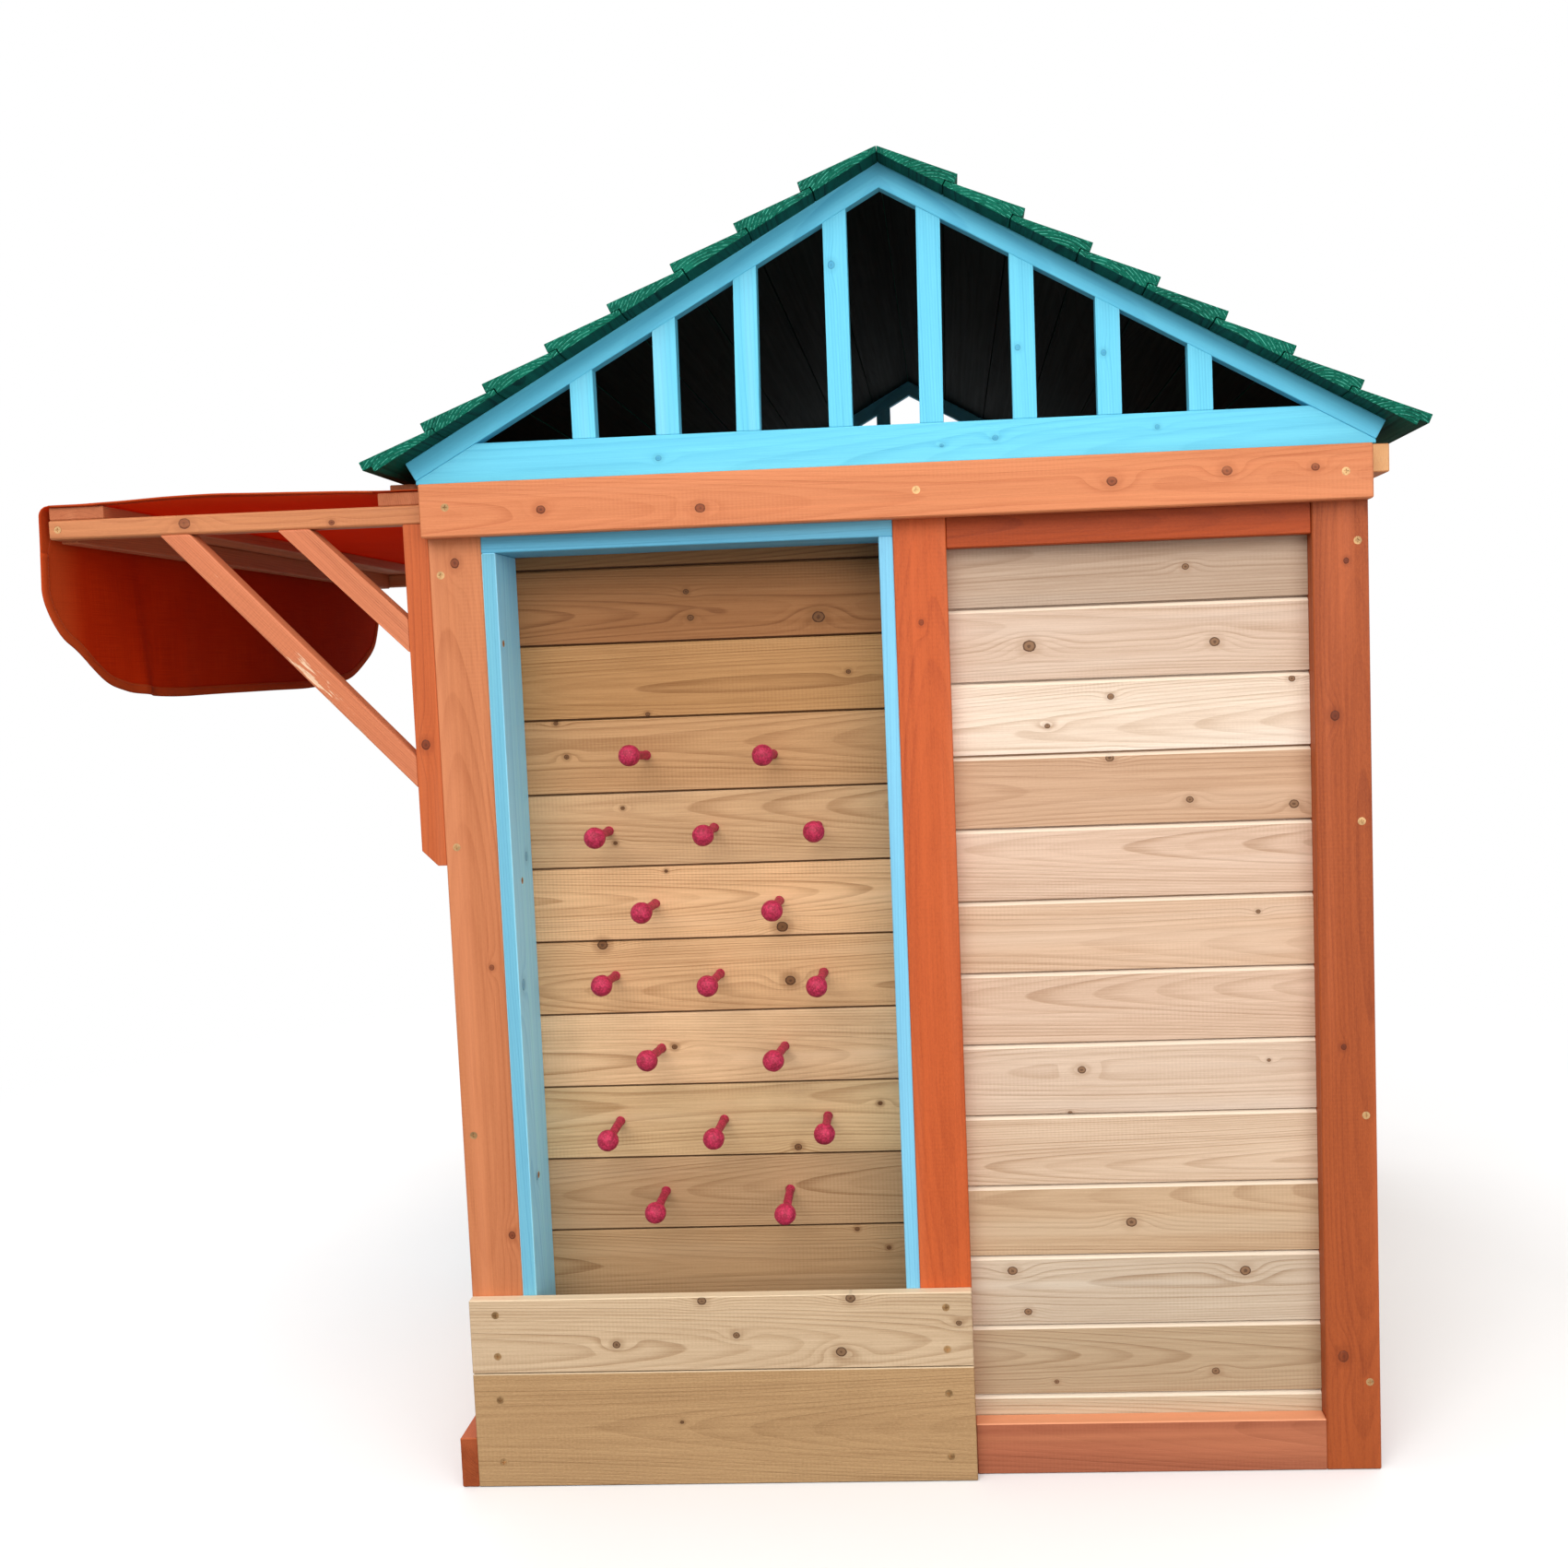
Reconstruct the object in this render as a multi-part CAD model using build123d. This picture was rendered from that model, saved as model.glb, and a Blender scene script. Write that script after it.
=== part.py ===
"""Wooden play house whose gable end holds a peg climbing wall.

Millimetres, +Z up.  The frame's origin is on the ground, under the middle of
the whole object's bounding box.  The gable end with the peg wall faces -Y (near)
and the awning hangs off the -X side (left).  Everything is laid out in house
coordinates (X = 0 on the ridge line, Y = 0 on the front face of the near posts,
Z = 0 on the ground) and moved to the frame's origin when it is written.
"""
from build123d import *
import os
from math import ceil, radians, sin, cos, tan

# ---------------------------------------------------------- driving dimensions
# overall frame and posts
WIDTH = 1060.0            # outer faces of the corner posts, across X
DEPTH = 1260.0            # outer faces of the corner posts, across Y
POST_DEPTH = 60.0         # along Y
POST_WIDTH = 61.0         # along X, left posts
RIGHT_POST_WIDTH = POST_WIDTH + 1
POST_TOP = 1178.0         # posts end here and carry the gable chords
EASE = 1.2                # eased arris on planed framing
FINE_EASE = 1.0           # eased arris on thinner boards

LEFT, RIGHT = -WIDTH / 2, WIDTH / 2
CENTRE_X0, CENTRE_X1 = 1.0, 61.0     # centre post of both gable walls
LEFT_BAY = (LEFT + POST_WIDTH, CENTRE_X0)
RIGHT_BAY = (CENTRE_X1, RIGHT - RIGHT_POST_WIDTH)
SIDE_Y0, SIDE_Y1 = POST_DEPTH, DEPTH - POST_DEPTH  # side walls, between the corner posts

# headers, rails and battens
HEADER_Z0, HEADER_Z1, HEADER_THICK = 1116.0, 1176.0, 20.0
HEADER_END = 531.0        # half the header length
RAIL_THICK = 22.0         # rails, stiles and panel battens
RAIL_HEIGHT = 61.0
TRIM_Z0 = 1082.0          # underside of the gable walls' upper rails
TRIM_Z1 = TRIM_Z0 + RAIL_HEIGHT
TRIM_SETBACK = 3.0
STILE_WIDTH = 30.0
PANEL_BATTEN_WIDTH = 45.0

# side walls
PLATE_Z0 = 1117.0         # underside of the top plate
JAMB_Y0, JAMB_Y1 = 480.0, 540.0              # door jamb post
AWNING_POST_Y0, AWNING_POST_Y1 = 975.0, 1035.0  # post at the far awning bracket
COUNTER_Z0, COUNTER_Z1 = 560.0, 578.0

# kickboards in front of the catch tray
KICK_THICK = 14.0
KICK_JOINT_Z = 138.0
KICK_HALF_GAP = 0.5
KICK_TOP = 227.0

# roof slope
SLOPE = radians(29.0)
RIDGE_Z = 1508.0          # underside of the roof boards at the ridge
ROOF_X = 591.0            # outermost butt edge
GABLE_THICK = 18.0

# awning extents
CANVAS_X0 = -991.0        # outer face of the valance
AWNING_LENGTH = 1010.0    # along Y
AWNING_X = -972.0         # outer ends of the arms
BRACKET_THICK = 22.0
CLEAT_X = -558.0          # outer face of the cleats

# from house coordinates to the middle of the footprint
SHIFT = (-(CANVAS_X0 + ROOF_X) / 2, -DEPTH / 2, 0.0)

# pieces that are alike share one file, each still its own solid
SHARED = {
    "posts_far": ("post_far_left", "post_far_centre", "post_far_right"),
    "posts_awning_side": ("post_door_jamb", "post_awning_far"),
    "far_wall_rails": ("far_rail_bottom_left", "far_rail_bottom_right",
                       "far_rail_top_left", "far_rail_top_right"),
    "far_wall_boards": ("far_wall_boards_left", "far_wall_boards_right"),
    "right_wall_rails": ("right_rail_bottom", "right_rail_top"),
    "left_wall_rails": ("counter_rail_bottom", "counter_rail_top", "side_panel_rail"),
    "panel_battens": ("peg_wall_battens", "near_wall_battens", "far_wall_battens"),
    "wall_stiles": ("right_wall_stiles", "left_wall_stile"),
    "gable_near_rakes": ("gable_near_rake_left", "gable_near_rake_right"),
    "gable_far_rakes": ("gable_far_rake_left", "gable_far_rake_right"),
    "awning_arms": ("awning_arm_near", "awning_arm_far"),
    "awning_struts_long": ("awning_strut_long_near", "awning_strut_long_far"),
    "awning_struts_short": ("awning_strut_short_near", "awning_strut_short_far"),
    "awning_cleats": ("awning_cleat_near", "awning_cleat_far"),
    "awning_battens": ("awning_batten_outer", "awning_batten_inner", "awning_batten_cap"),
    "hinge_post_leaves": ("hinge_post_leaf_lower", "hinge_post_leaf_upper"),
    "hinge_door_leaves": ("hinge_door_leaf_lower", "hinge_door_leaf_upper"),
    "wood_screws": ("header_screws", "post_screws", "kickboard_screws", "peg_box_screws",
                    "awning_screws"),
}

NODES = {}                # piece name -> list of solids


# --------------------------------------------------------------------- helpers
def add(name, *solids):
    NODES.setdefault(name, []).extend(solids)


def polygon(points):
    return Face(Wire.make_polygon([Vector(*point) for point in points], close=True))


def prism(points, axis, start, end):
    """Polygon in the plane square to axis, drawn out from start to end."""
    if axis == "x":
        corners = [(start, p, q) for p, q in points]
        direction = (1, 0, 0)
    elif axis == "y":
        corners = [(p, start, q) for p, q in points]
        direction = (0, 1, 0)
    else:
        corners = [(p, q, start) for p, q in points]
        direction = (0, 0, 1)
    return extrude(polygon(corners), amount=end - start, dir=direction).solid()


def box(x0, x1, y0, y1, z0, z1, ease=0.0):
    """Block between the given faces; y0 and y1 may come in either order."""
    block = Pos((x0 + x1) / 2, (y0 + y1) / 2, (z0 + z1) / 2) * Box(x1 - x0, abs(y1 - y0), z1 - z0)
    if ease:
        block = chamfer(block.edges(), ease)
    return block.solid()


def turned(profile):
    """Solid turned about Z from (radius, z) points."""
    return revolve(polygon([(r, 0, z) for r, z in profile]), axis=Axis.Z).solid()


def cut(name, tools):
    """Take the tools out of every solid of a node whose bounding box they reach."""
    results = []
    for solid in NODES[name]:
        own = solid.bounding_box()
        for tool in tools:
            other = tool.bounding_box()
            if (other.min.X < own.max.X and other.max.X > own.min.X
                    and other.min.Y < own.max.Y and other.max.Y > own.min.Y
                    and other.min.Z < own.max.Z and other.max.Z > own.min.Z):
                solid = (solid - tool).solid()
        results.append(solid)
    NODES[name] = results


def mirror_x(solid):
    return mirror(solid, about=Plane.YZ).solid()


def mirror_end(solid):
    """The same piece at the far gable end."""
    return mirror(solid, about=Plane.XZ.offset(-DEPTH / 2)).solid()


# ---------------------------------------------------------------------- screws
HEAD_RIM = 0.7            # straight edge of the head
HEAD_DEPTH = 3.2          # down to the shank
SCREW_POINT = 5.0         # length of the tapered point
TIP_RADIUS = 0.6
SLOT_LENGTH, SLOT_WIDTH, SLOT_HEIGHT = 5.0, 1.1, 2.4
FACING_TURNS = {"-y": (90, 0, 0), "+y": (-90, 0, 0), "-x": (0, -90, 0), "+x": (0, 90, 0)}


def countersunk(length, head, shank):
    """Screw pointing down -Z with its flat head at z = 0: (envelope, piece)."""
    envelope = turned([(0, 0), (head / 2, 0), (head / 2, -HEAD_RIM), (shank / 2, -HEAD_DEPTH),
                       (shank / 2, -length + SCREW_POINT), (TIP_RADIUS, -length), (0, -length)])
    slot = Box(SLOT_LENGTH, SLOT_WIDTH, SLOT_HEIGHT)
    piece = envelope - slot - slot.rotate(Axis.Z, 90)
    return envelope, piece.solid()


def place(shape, at, facing):
    """Move a shape made along Z to a point, its +Z end facing a direction."""
    return (Location(at, FACING_TURNS[facing]) * shape).solid()


def screws(node, length, spots, facing, hosts, head=9.0, shank=4.2):
    """Add a screw at each spot and sink it into the host nodes."""
    envelope, piece = countersunk(length, head, shank)
    tools = [place(envelope, spot, facing) for spot in spots]
    add(node, *[place(piece, spot, facing) for spot in spots])
    for host in hosts:
        cut(host, tools)


# ---------------------------------------------------- tongue and groove boards
COVER = 84.41             # height covered by one board
JOINT_Z = 1014.8          # a joint all the walls share
BOARD_THICK = 16.0
BOARD_RECESS = 22.3       # from the wall face back to the board face
OPEN_GAP = 2.2            # open groove seen between two boards
BEVEL = 4.0               # on the top edge of the seen face
BACK_GAP = 0.6            # joint gap behind the tongue
TONGUE_FRONT, TONGUE_BACK, TONGUE_HEIGHT = 6.0, 10.0, 5.0
GROOVE_FRONT, GROOVE_BACK, GROOVE_HEIGHT = 5.7, 10.3, 6.0
BOARDS_Z0 = 2.0           # boards start just off the ground


def board_section(z0, z1, face, back, ripped_top, groove):
    """Section of one board as (depth, height), from face (seen) to back (hidden).

    z1 is the cover line; a ripped top is square and has no tongue.
    """
    inward = 1 if back > face else -1

    def at(depth):
        return face + inward * depth

    if ripped_top:
        upper = [(at(0), z1), (at(BOARD_THICK), z1)]
    else:
        top = z1 - OPEN_GAP
        upper = [(at(0), top - BEVEL), (at(BEVEL), top), (at(TONGUE_FRONT), top),
                 (at(TONGUE_FRONT), z1 + TONGUE_HEIGHT), (at(TONGUE_BACK), z1 + TONGUE_HEIGHT),
                 (at(TONGUE_BACK), z1 - BACK_GAP), (at(BOARD_THICK), z1 - BACK_GAP)]
    section = [(at(0), z0), *upper, (at(BOARD_THICK), z0)]
    if groove:
        section += [(at(GROOVE_BACK), z0), (at(GROOVE_BACK), z0 + GROOVE_HEIGHT),
                    (at(GROOVE_FRONT), z0 + GROOVE_HEIGHT), (at(GROOVE_FRONT), z0)]
    return section


def board_wall(node, axis, start, end, face, back, top):
    """Horizontal boards along axis, from the top down to BOARDS_Z0."""
    z1 = top
    z0 = JOINT_Z + (ceil((top - JOINT_Z) / COVER) - 1) * COVER
    while z1 > BOARDS_Z0 + 1:
        lowest = z0 <= BOARDS_Z0 + 1
        section = board_section(BOARDS_Z0 if lowest else z0, z1, face, back,
                                ripped_top=z1 == top, groove=not lowest)
        add(node, prism(section, axis, start, end))
        z1, z0 = z0, z0 - COVER


# ----------------------------------------------------------------------- posts
def posts():
    columns = {"left": (LEFT, LEFT + POST_WIDTH),
               "centre": (CENTRE_X0, CENTRE_X1),
               "right": (RIGHT - RIGHT_POST_WIDTH, RIGHT)}
    for end, y0 in (("near", 0), ("far", DEPTH - POST_DEPTH)):
        for side, (x0, x1) in columns.items():
            add(f"post_{end}_{side}", box(x0, x1, y0, y0 + POST_DEPTH, 0, POST_TOP, EASE))
    x0, x1 = columns["left"]
    add("post_door_jamb", box(x0, x1, JAMB_Y0, JAMB_Y1, 0, PLATE_Z0, EASE))
    add("post_awning_far", box(x0, x1, AWNING_POST_Y0, AWNING_POST_Y1, 0, PLATE_Z0, EASE))
    add("top_plate_left", box(x0, x1, SIDE_Y0, SIDE_Y1, PLATE_Z0, POST_TOP, EASE))


# ------------------------------------------------------------ peg wall and tray
LINING_THICK = 16.0       # boards lining the box in front of the peg wall
BOX_DEPTH = 80.4          # front of posts to front of peg boards
BOX_TOP = 1114.0
BOX_LID_TOP = HEADER_Z0 + 2.5
FLOOR_TOP = 94.0          # top face of the catch tray floor
PEG_BOARD_THICK = 18.0
PEG_BOARD_BACK = BOX_DEPTH + PEG_BOARD_THICK
PEG_BOARD_COVER = 89.77
PEG_JOINT_Z = 1081.3      # highest joint
PEG_JOINTS = 11
PEG_BATTEN_INSET = 26.0
PEG_DIAMETER, BALL_DIAMETER = 10.0, 25.0
BALL_Y = 4.0              # ball centre, just behind the post fronts
NECK_FLARE = 2.6          # extra radius where the neck meets the ball
NECK_LENGTH, NECK_SINK = 8.0, 1.4

PEGS = (  # foot x, foot z, ball x, ball z
    (-307, 857, -311, 861), (-154, 853, -157, 856),
    (-357, 767, -356, 767), (-229, 767, -230, 766), (-104, 765, -102, 766),
    (-305, 677, -306, 678), (-154, 676, -154, 676),
    (-358, 590, -357, 594), (-230, 589, -233, 590), (-104, 587, -106, 586),
    (-306, 499, -308, 504), (-155, 498, -160, 500),
    (-361, 410, -359, 410), (-233, 409, -234, 409), (-106, 410, -104, 412),
    (-309, 321, -307, 322), (-156, 320, -154, 317),
)


def peg_box():
    x0, x1 = LEFT_BAY
    side_top = BOX_TOP - LINING_THICK
    for side, inner in (("left", x0), ("right", x1 - LINING_THICK)):
        add("peg_box_side_" + side, box(inner, inner + LINING_THICK, 0, BOX_DEPTH,
                                        FLOOR_TOP, side_top, FINE_EASE))
    add("peg_box_top", box(x0, x1, 0, BOX_DEPTH, side_top, BOX_LID_TOP, FINE_EASE))
    add("catch_tray_floor", box(x0, x1, 0, PEG_BOARD_BACK,
                                FLOOR_TOP - LINING_THICK, FLOOR_TOP, FINE_EASE))


def peg_wall():
    """Horizontal boards with a small tongue in each joint, on two battens."""
    x0, x1 = LEFT_BAY
    face = BOX_DEPTH
    half_gap, ease = 0.6, 1.6
    tongue_front, tongue_back = face + 7, face + 11
    groove_front, groove_back = face + 6.7, face + 11.3
    depth = 5             # height of tongue and groove
    joints = [PEG_JOINT_Z - i * PEG_BOARD_COVER for i in range(PEG_JOINTS)]
    edges = [BOX_TOP, *joints, FLOOR_TOP]
    for upper, lower in zip(edges, edges[1:]):
        z0 = lower if lower == FLOOR_TOP else lower + half_gap
        z1 = upper if upper == BOX_TOP else upper - half_gap
        section = [(face + ease, z0)]
        if lower != FLOOR_TOP:
            section += [(groove_front, z0), (groove_front, z0 + depth),
                        (groove_back, z0 + depth), (groove_back, z0)]
        section += [(PEG_BOARD_BACK, z0), (PEG_BOARD_BACK, z1)]
        if upper != BOX_TOP:
            section += [(tongue_back, z1), (tongue_back, z1 + depth),
                        (tongue_front, z1 + depth), (tongue_front, z1)]
        section += [(face + ease, z1), (face, z1 - ease), (face, z0 + ease)]
        add("peg_wall_boards", prism(section, "x", x0, x1))
    for x in (x0 + PEG_BATTEN_INSET, x1 - PEG_BATTEN_INSET - PANEL_BATTEN_WIDTH):
        add("peg_wall_battens", box(x, x + PANEL_BATTEN_WIDTH, PEG_BOARD_BACK,
                                    PEG_BOARD_BACK + RAIL_THICK, FLOOR_TOP, BOX_TOP, FINE_EASE))


def pegs():
    """Ball ended pegs let into the peg wall boards."""
    holes = []
    for foot_x, foot_z, ball_x, ball_z in PEGS:
        foot = Vector(foot_x, BOX_DEPTH, foot_z)
        centre = Vector(ball_x, BALL_Y, ball_z)
        inward = (foot - centre).normalized()
        end = foot + inward * (PEG_BOARD_THICK - 1.0)
        shank = Solid.make_cylinder(PEG_DIAMETER / 2, (end - centre).length,
                                    Plane(origin=tuple(centre), z_dir=end - centre))
        neck_start = centre + inward * (BALL_DIAMETER / 2 - NECK_SINK)
        neck = Solid.make_cone(PEG_DIAMETER / 2 + NECK_FLARE, PEG_DIAMETER / 2, NECK_LENGTH,
                               Plane(origin=tuple(neck_start), z_dir=inward))
        ball = Solid.make_sphere(BALL_DIAMETER / 2, Plane(origin=tuple(centre)))
        add("wall_pegs", (shank + neck + ball).solid())
        holes.append(shank)
    cut("peg_wall_boards", holes)


def kickboards():
    for name, z0, z1 in (("lower", 0, KICK_JOINT_Z - KICK_HALF_GAP),
                         ("upper", KICK_JOINT_Z + KICK_HALF_GAP, KICK_TOP)):
        add("kickboard_" + name, box(LEFT, CENTRE_X1, -KICK_THICK, 0, z0, z1, FINE_EASE))


# --------------------------------------------------------------- boarded walls
def gable_bay(end, suffix, bay):
    """Boarded bay of a gable wall: two rails, boards and two battens behind."""
    def at(depth):
        return depth if end == "near" else DEPTH - depth

    x0, x1 = bay
    add(f"{end}_rail_bottom{suffix}", box(x0, x1, at(0), at(RAIL_THICK), 0, RAIL_HEIGHT, EASE))
    add(f"{end}_rail_top{suffix}", box(x0, x1, at(TRIM_SETBACK), at(RAIL_THICK),
                                       TRIM_Z0, TRIM_Z1, EASE))
    back = BOARD_RECESS + BOARD_THICK
    board_wall(f"{end}_wall_boards{suffix}", "x", x0, x1, at(BOARD_RECESS), at(back), TRIM_Z1)
    inset = 20.0
    for x in (x0 + inset, x1 - inset - PANEL_BATTEN_WIDTH):
        add(f"{end}_wall_battens", box(x, x + PANEL_BATTEN_WIDTH, at(back), at(back + RAIL_THICK),
                                       BOARDS_Z0, TRIM_Z1, FINE_EASE))


def right_wall():
    x0 = RIGHT - RAIL_THICK
    top = POST_TOP - 1
    add("right_rail_bottom", box(x0, RIGHT, SIDE_Y0, SIDE_Y1, 0, RAIL_HEIGHT, EASE))
    add("right_rail_top", box(x0, RIGHT, SIDE_Y0, SIDE_Y1, PLATE_Z0, POST_TOP, EASE))
    for y in (SIDE_Y0, SIDE_Y1 - STILE_WIDTH):
        add("right_wall_stiles", box(x0, RIGHT, y, y + STILE_WIDTH,
                                     RAIL_HEIGHT, PLATE_Z0, FINE_EASE))
    face = RIGHT - BOARD_RECESS
    back = face - BOARD_THICK
    board_wall("right_wall_boards", "y", SIDE_Y0, SIDE_Y1, face, back, top)
    stud_width = 44.0
    add("right_wall_stud", box(back - RAIL_THICK, back, (DEPTH - stud_width) / 2,
                               (DEPTH + stud_width) / 2, BOARDS_Z0, top, FINE_EASE))
    add("right_eave_rail", box(RIGHT, RIGHT + 24, 0, DEPTH, 1146, 1177, EASE))


def left_wall():
    """Counter bay and narrow boarded bay on either side of the half door."""
    x1 = LEFT + RAIL_THICK
    face = LEFT + BOARD_RECESS
    back = face + BOARD_THICK
    rail_z0 = COUNTER_Z0 - RAIL_HEIGHT
    stile_y1 = SIDE_Y0 + STILE_WIDTH
    add("counter_rail_bottom", box(LEFT, x1, SIDE_Y0, JAMB_Y0, 0, RAIL_HEIGHT, EASE))
    add("counter_rail_top", box(LEFT, x1, SIDE_Y0, JAMB_Y0, rail_z0, COUNTER_Z0, EASE))
    add("left_wall_stile",
        box(LEFT, x1, SIDE_Y0, stile_y1, COUNTER_Z1, PLATE_Z0, FINE_EASE),
        box(LEFT, x1, SIDE_Y0, stile_y1, RAIL_HEIGHT, rail_z0, FINE_EASE))
    board_wall("counter_boards", "y", SIDE_Y0, JAMB_Y0, face, back, COUNTER_Z0)

    # the shelf's near end is notched round the peg wall battens
    shelf = box(LEFT - 14, LEFT + 112, SIDE_Y0, JAMB_Y0, COUNTER_Z0, COUNTER_Z1, 2.0)
    notch = box(LEFT + POST_WIDTH - 1, LEFT + 200, 0, 124, COUNTER_Z0 - 5, COUNTER_Z1 + 5)
    add("counter_shelf", (shelf - notch).solid())

    add("side_panel_rail", box(LEFT, x1, AWNING_POST_Y1, SIDE_Y1, 0, RAIL_HEIGHT, EASE))
    board_wall("side_panel_boards", "y", AWNING_POST_Y1, SIDE_Y1, face, back, PLATE_Z0)
    # sill board along the outside of the wall
    add("sill_board_left", box(LEFT - 20, LEFT, -KICK_THICK, DEPTH + KICK_THICK, 0, 60, EASE))


# ---------------------------------------------------------------------- gables
RAKE_DEPTH = 23.0         # square to the slope
RAKE_X = 551.0            # outer end of the rakes' top edge
CHORD_TOP = 1222.0
CHORD_GAP = 0.5           # open joint between the chord and the rakes
SLAT_WIDTH = 26.5
SLAT_SETBACK = 0.5        # slats are thinner than the rakes by this on each face
# centre x of each slat at its foot and at its head; some lean slightly
SLATS = ((-343.5, -343.8), (-248.2, -247.2), (-156.8, -153.4), (-52.2, -50.9),
         (49.7, 53.3), (154.0, 154.5), (248.3, 248.3), (349.0, 348.6))


def rake_top(x):
    return RIDGE_Z - tan(SLOPE) * x


def rake_underside(x):
    return rake_top(x) - RAKE_DEPTH / cos(SLOPE)


def gable(end):
    put = mirror_end if end == "far" else (lambda solid: solid)
    tip_x = RAKE_X - RAKE_DEPTH * sin(SLOPE)
    tip_z = rake_top(RAKE_X) - RAKE_DEPTH * cos(SLOPE)
    rake = prism([(0, RIDGE_Z), (RAKE_X, rake_top(RAKE_X)), (tip_x, tip_z),
                  (0, rake_underside(0))], "y", 0, GABLE_THICK)
    add(f"gable_{end}_rake_right", put(rake))
    add(f"gable_{end}_rake_left", put(mirror_x(rake)))

    top_x = (rake_underside(0) - CHORD_TOP) / tan(SLOPE) - CHORD_GAP / sin(SLOPE)
    end_z = tip_z - CHORD_GAP / cos(SLOPE)
    chord = [(-top_x, CHORD_TOP), (top_x, CHORD_TOP), (tip_x, end_z),
             (tip_x, POST_TOP), (-tip_x, POST_TOP), (-tip_x, end_z)]
    add(f"gable_{end}_chord", put(prism(chord, "y", 0, GABLE_THICK)))

    half = SLAT_WIDTH / 2
    for foot, head in SLATS:
        outline = [(foot - half, CHORD_TOP), (foot + half, CHORD_TOP),
                   (head + half, rake_underside(abs(head + half))),
                   (head - half, rake_underside(abs(head - half)))]
        slat = prism(outline, "y", SLAT_SETBACK, GABLE_THICK - SLAT_SETBACK)
        add(f"gable_{end}_slats", put(slat))
    header = box(-HEADER_END, HEADER_END, -HEADER_THICK, 0, HEADER_Z0, HEADER_Z1, 1.6)
    add("header_" + end, put(header))


# ------------------------------------------------------------------------ roof
ROOF_OVERHANG = 34.0      # past the post faces at both ends
ROOF_BOARDS = 8           # on each slope
ROOF_EXPOSURE = 82.26     # seen width of one board down the slope
ROOF_BUTT, ROOF_THIN = 18.0, 6.0     # thickness at the lower and upper edges
ROOF_TUCK = 8.7           # how far a board runs up under the one above
ROOF_REBATE = 10.0        # rebate under the butt
LIP_LEAN = 1.0            # the lip's foot stands this far past the butt
RIDGE_GAP = 0.25          # half the joint between the two top boards


def on_slope(along, out):
    """(x, z) of a point measured down the right slope and square out of it."""
    return (along * cos(SLOPE) + out * sin(SLOPE), RIDGE_Z - along * sin(SLOPE) + out * cos(SLOPE))


def roof():
    """Tapered boards, each rebated under its butt to lap the next one down."""
    eave = (ROOF_X - ROOF_BUTT * sin(SLOPE)) / cos(SLOPE)
    # lip height: the next board's top there, with a little air
    taper = (ROOF_BUTT - ROOF_THIN) / (ROOF_EXPOSURE + ROOF_TUCK)
    lip = ROOF_THIN + taper * (ROOF_TUCK + LIP_LEAN) + 0.3
    for i in range(ROOF_BOARDS):
        butt = eave - ROOF_EXPOSURE * (ROOF_BOARDS - 1 - i)
        if i == 0:
            # the top board is cut plumb at the ridge
            lower_start = RIDGE_GAP / cos(SLOPE)
            upper_start = lower_start - ROOF_THIN * tan(SLOPE)
        else:
            lower_start = upper_start = butt - ROOF_EXPOSURE - ROOF_TUCK
        rebate = butt - ROOF_REBATE
        section = [(lower_start, 0), (rebate, 0), (rebate, ROOF_THIN + 0.4),
                   (butt + LIP_LEAN, lip), (butt, ROOF_BUTT), (upper_start, ROOF_THIN)]
        board = prism([on_slope(*point) for point in section], "y",
                      -ROOF_OVERHANG, DEPTH + ROOF_OVERHANG)
        add("roof_boards_right", board)
        add("roof_boards_left", mirror_x(board))


# ---------------------------------------------------------------------- awning
ARM_Z0, ARM_Z1 = 1134.0, 1156.0
AWNING_BATTEN_TOP = 1171.0
STRUTS = {  # outer and inner x under the arm, upper and lower z at the cleat
    "long": (-843, -807, 869, 832),
    "short": (-704, -667, 1027, 988),
}
CANVAS = (  # x, z: flat top over the battens and a valance at the outer edge
    (CANVAS_X0, 950), (-980, 950), (-980, 1172), (-579, 1172), (-579, 1179), (CANVAS_X0, 1179),
)


def awning_bracket(end, y0):
    y1 = y0 + BRACKET_THICK
    arm = box(AWNING_X, LEFT, y0, y1, ARM_Z0, ARM_Z1)
    add("awning_arm_" + end, chamfer(arm.edges().filter_by(Axis.X), 2.0).solid())
    for size, (outer_x, inner_x, upper_z, lower_z) in STRUTS.items():
        add(f"awning_strut_{size}_{end}", prism(
            [(outer_x, ARM_Z0), (inner_x, ARM_Z0), (CLEAT_X, upper_z), (CLEAT_X, lower_z)],
            "y", y0, y1))
    add("awning_cleat_" + end, prism(
        [(CLEAT_X, ARM_Z0), (LEFT, ARM_Z0), (LEFT, 741), (-540, 741), (CLEAT_X, 759)],
        "y", y0, y1))


def awning():
    awning_bracket("near", 0.0)
    awning_bracket("far", AWNING_LENGTH - BRACKET_THICK)
    add("awning_front_rail", box(AWNING_X, AWNING_X + 20, BRACKET_THICK,
                                 AWNING_LENGTH - BRACKET_THICK, 1131, ARM_Z1, EASE))
    add("awning_batten_outer", box(AWNING_X + 1, AWNING_X + 65, 0, AWNING_LENGTH,
                                   ARM_Z1, AWNING_BATTEN_TOP, EASE))
    add("awning_batten_inner", box(LEFT - 55, LEFT, 0, AWNING_LENGTH,
                                   ARM_Z1, AWNING_BATTEN_TOP, EASE))
    # strip under the eave, above the inner batten
    add("awning_batten_cap", box(LEFT - 47, LEFT - 1, GABLE_THICK + 1, AWNING_LENGTH - 2,
                                 AWNING_BATTEN_TOP + 2.4, AWNING_BATTEN_TOP + 11, FINE_EASE))
    add("awning_canvas", prism(CANVAS, "y", 2, AWNING_LENGTH - 2))


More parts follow.
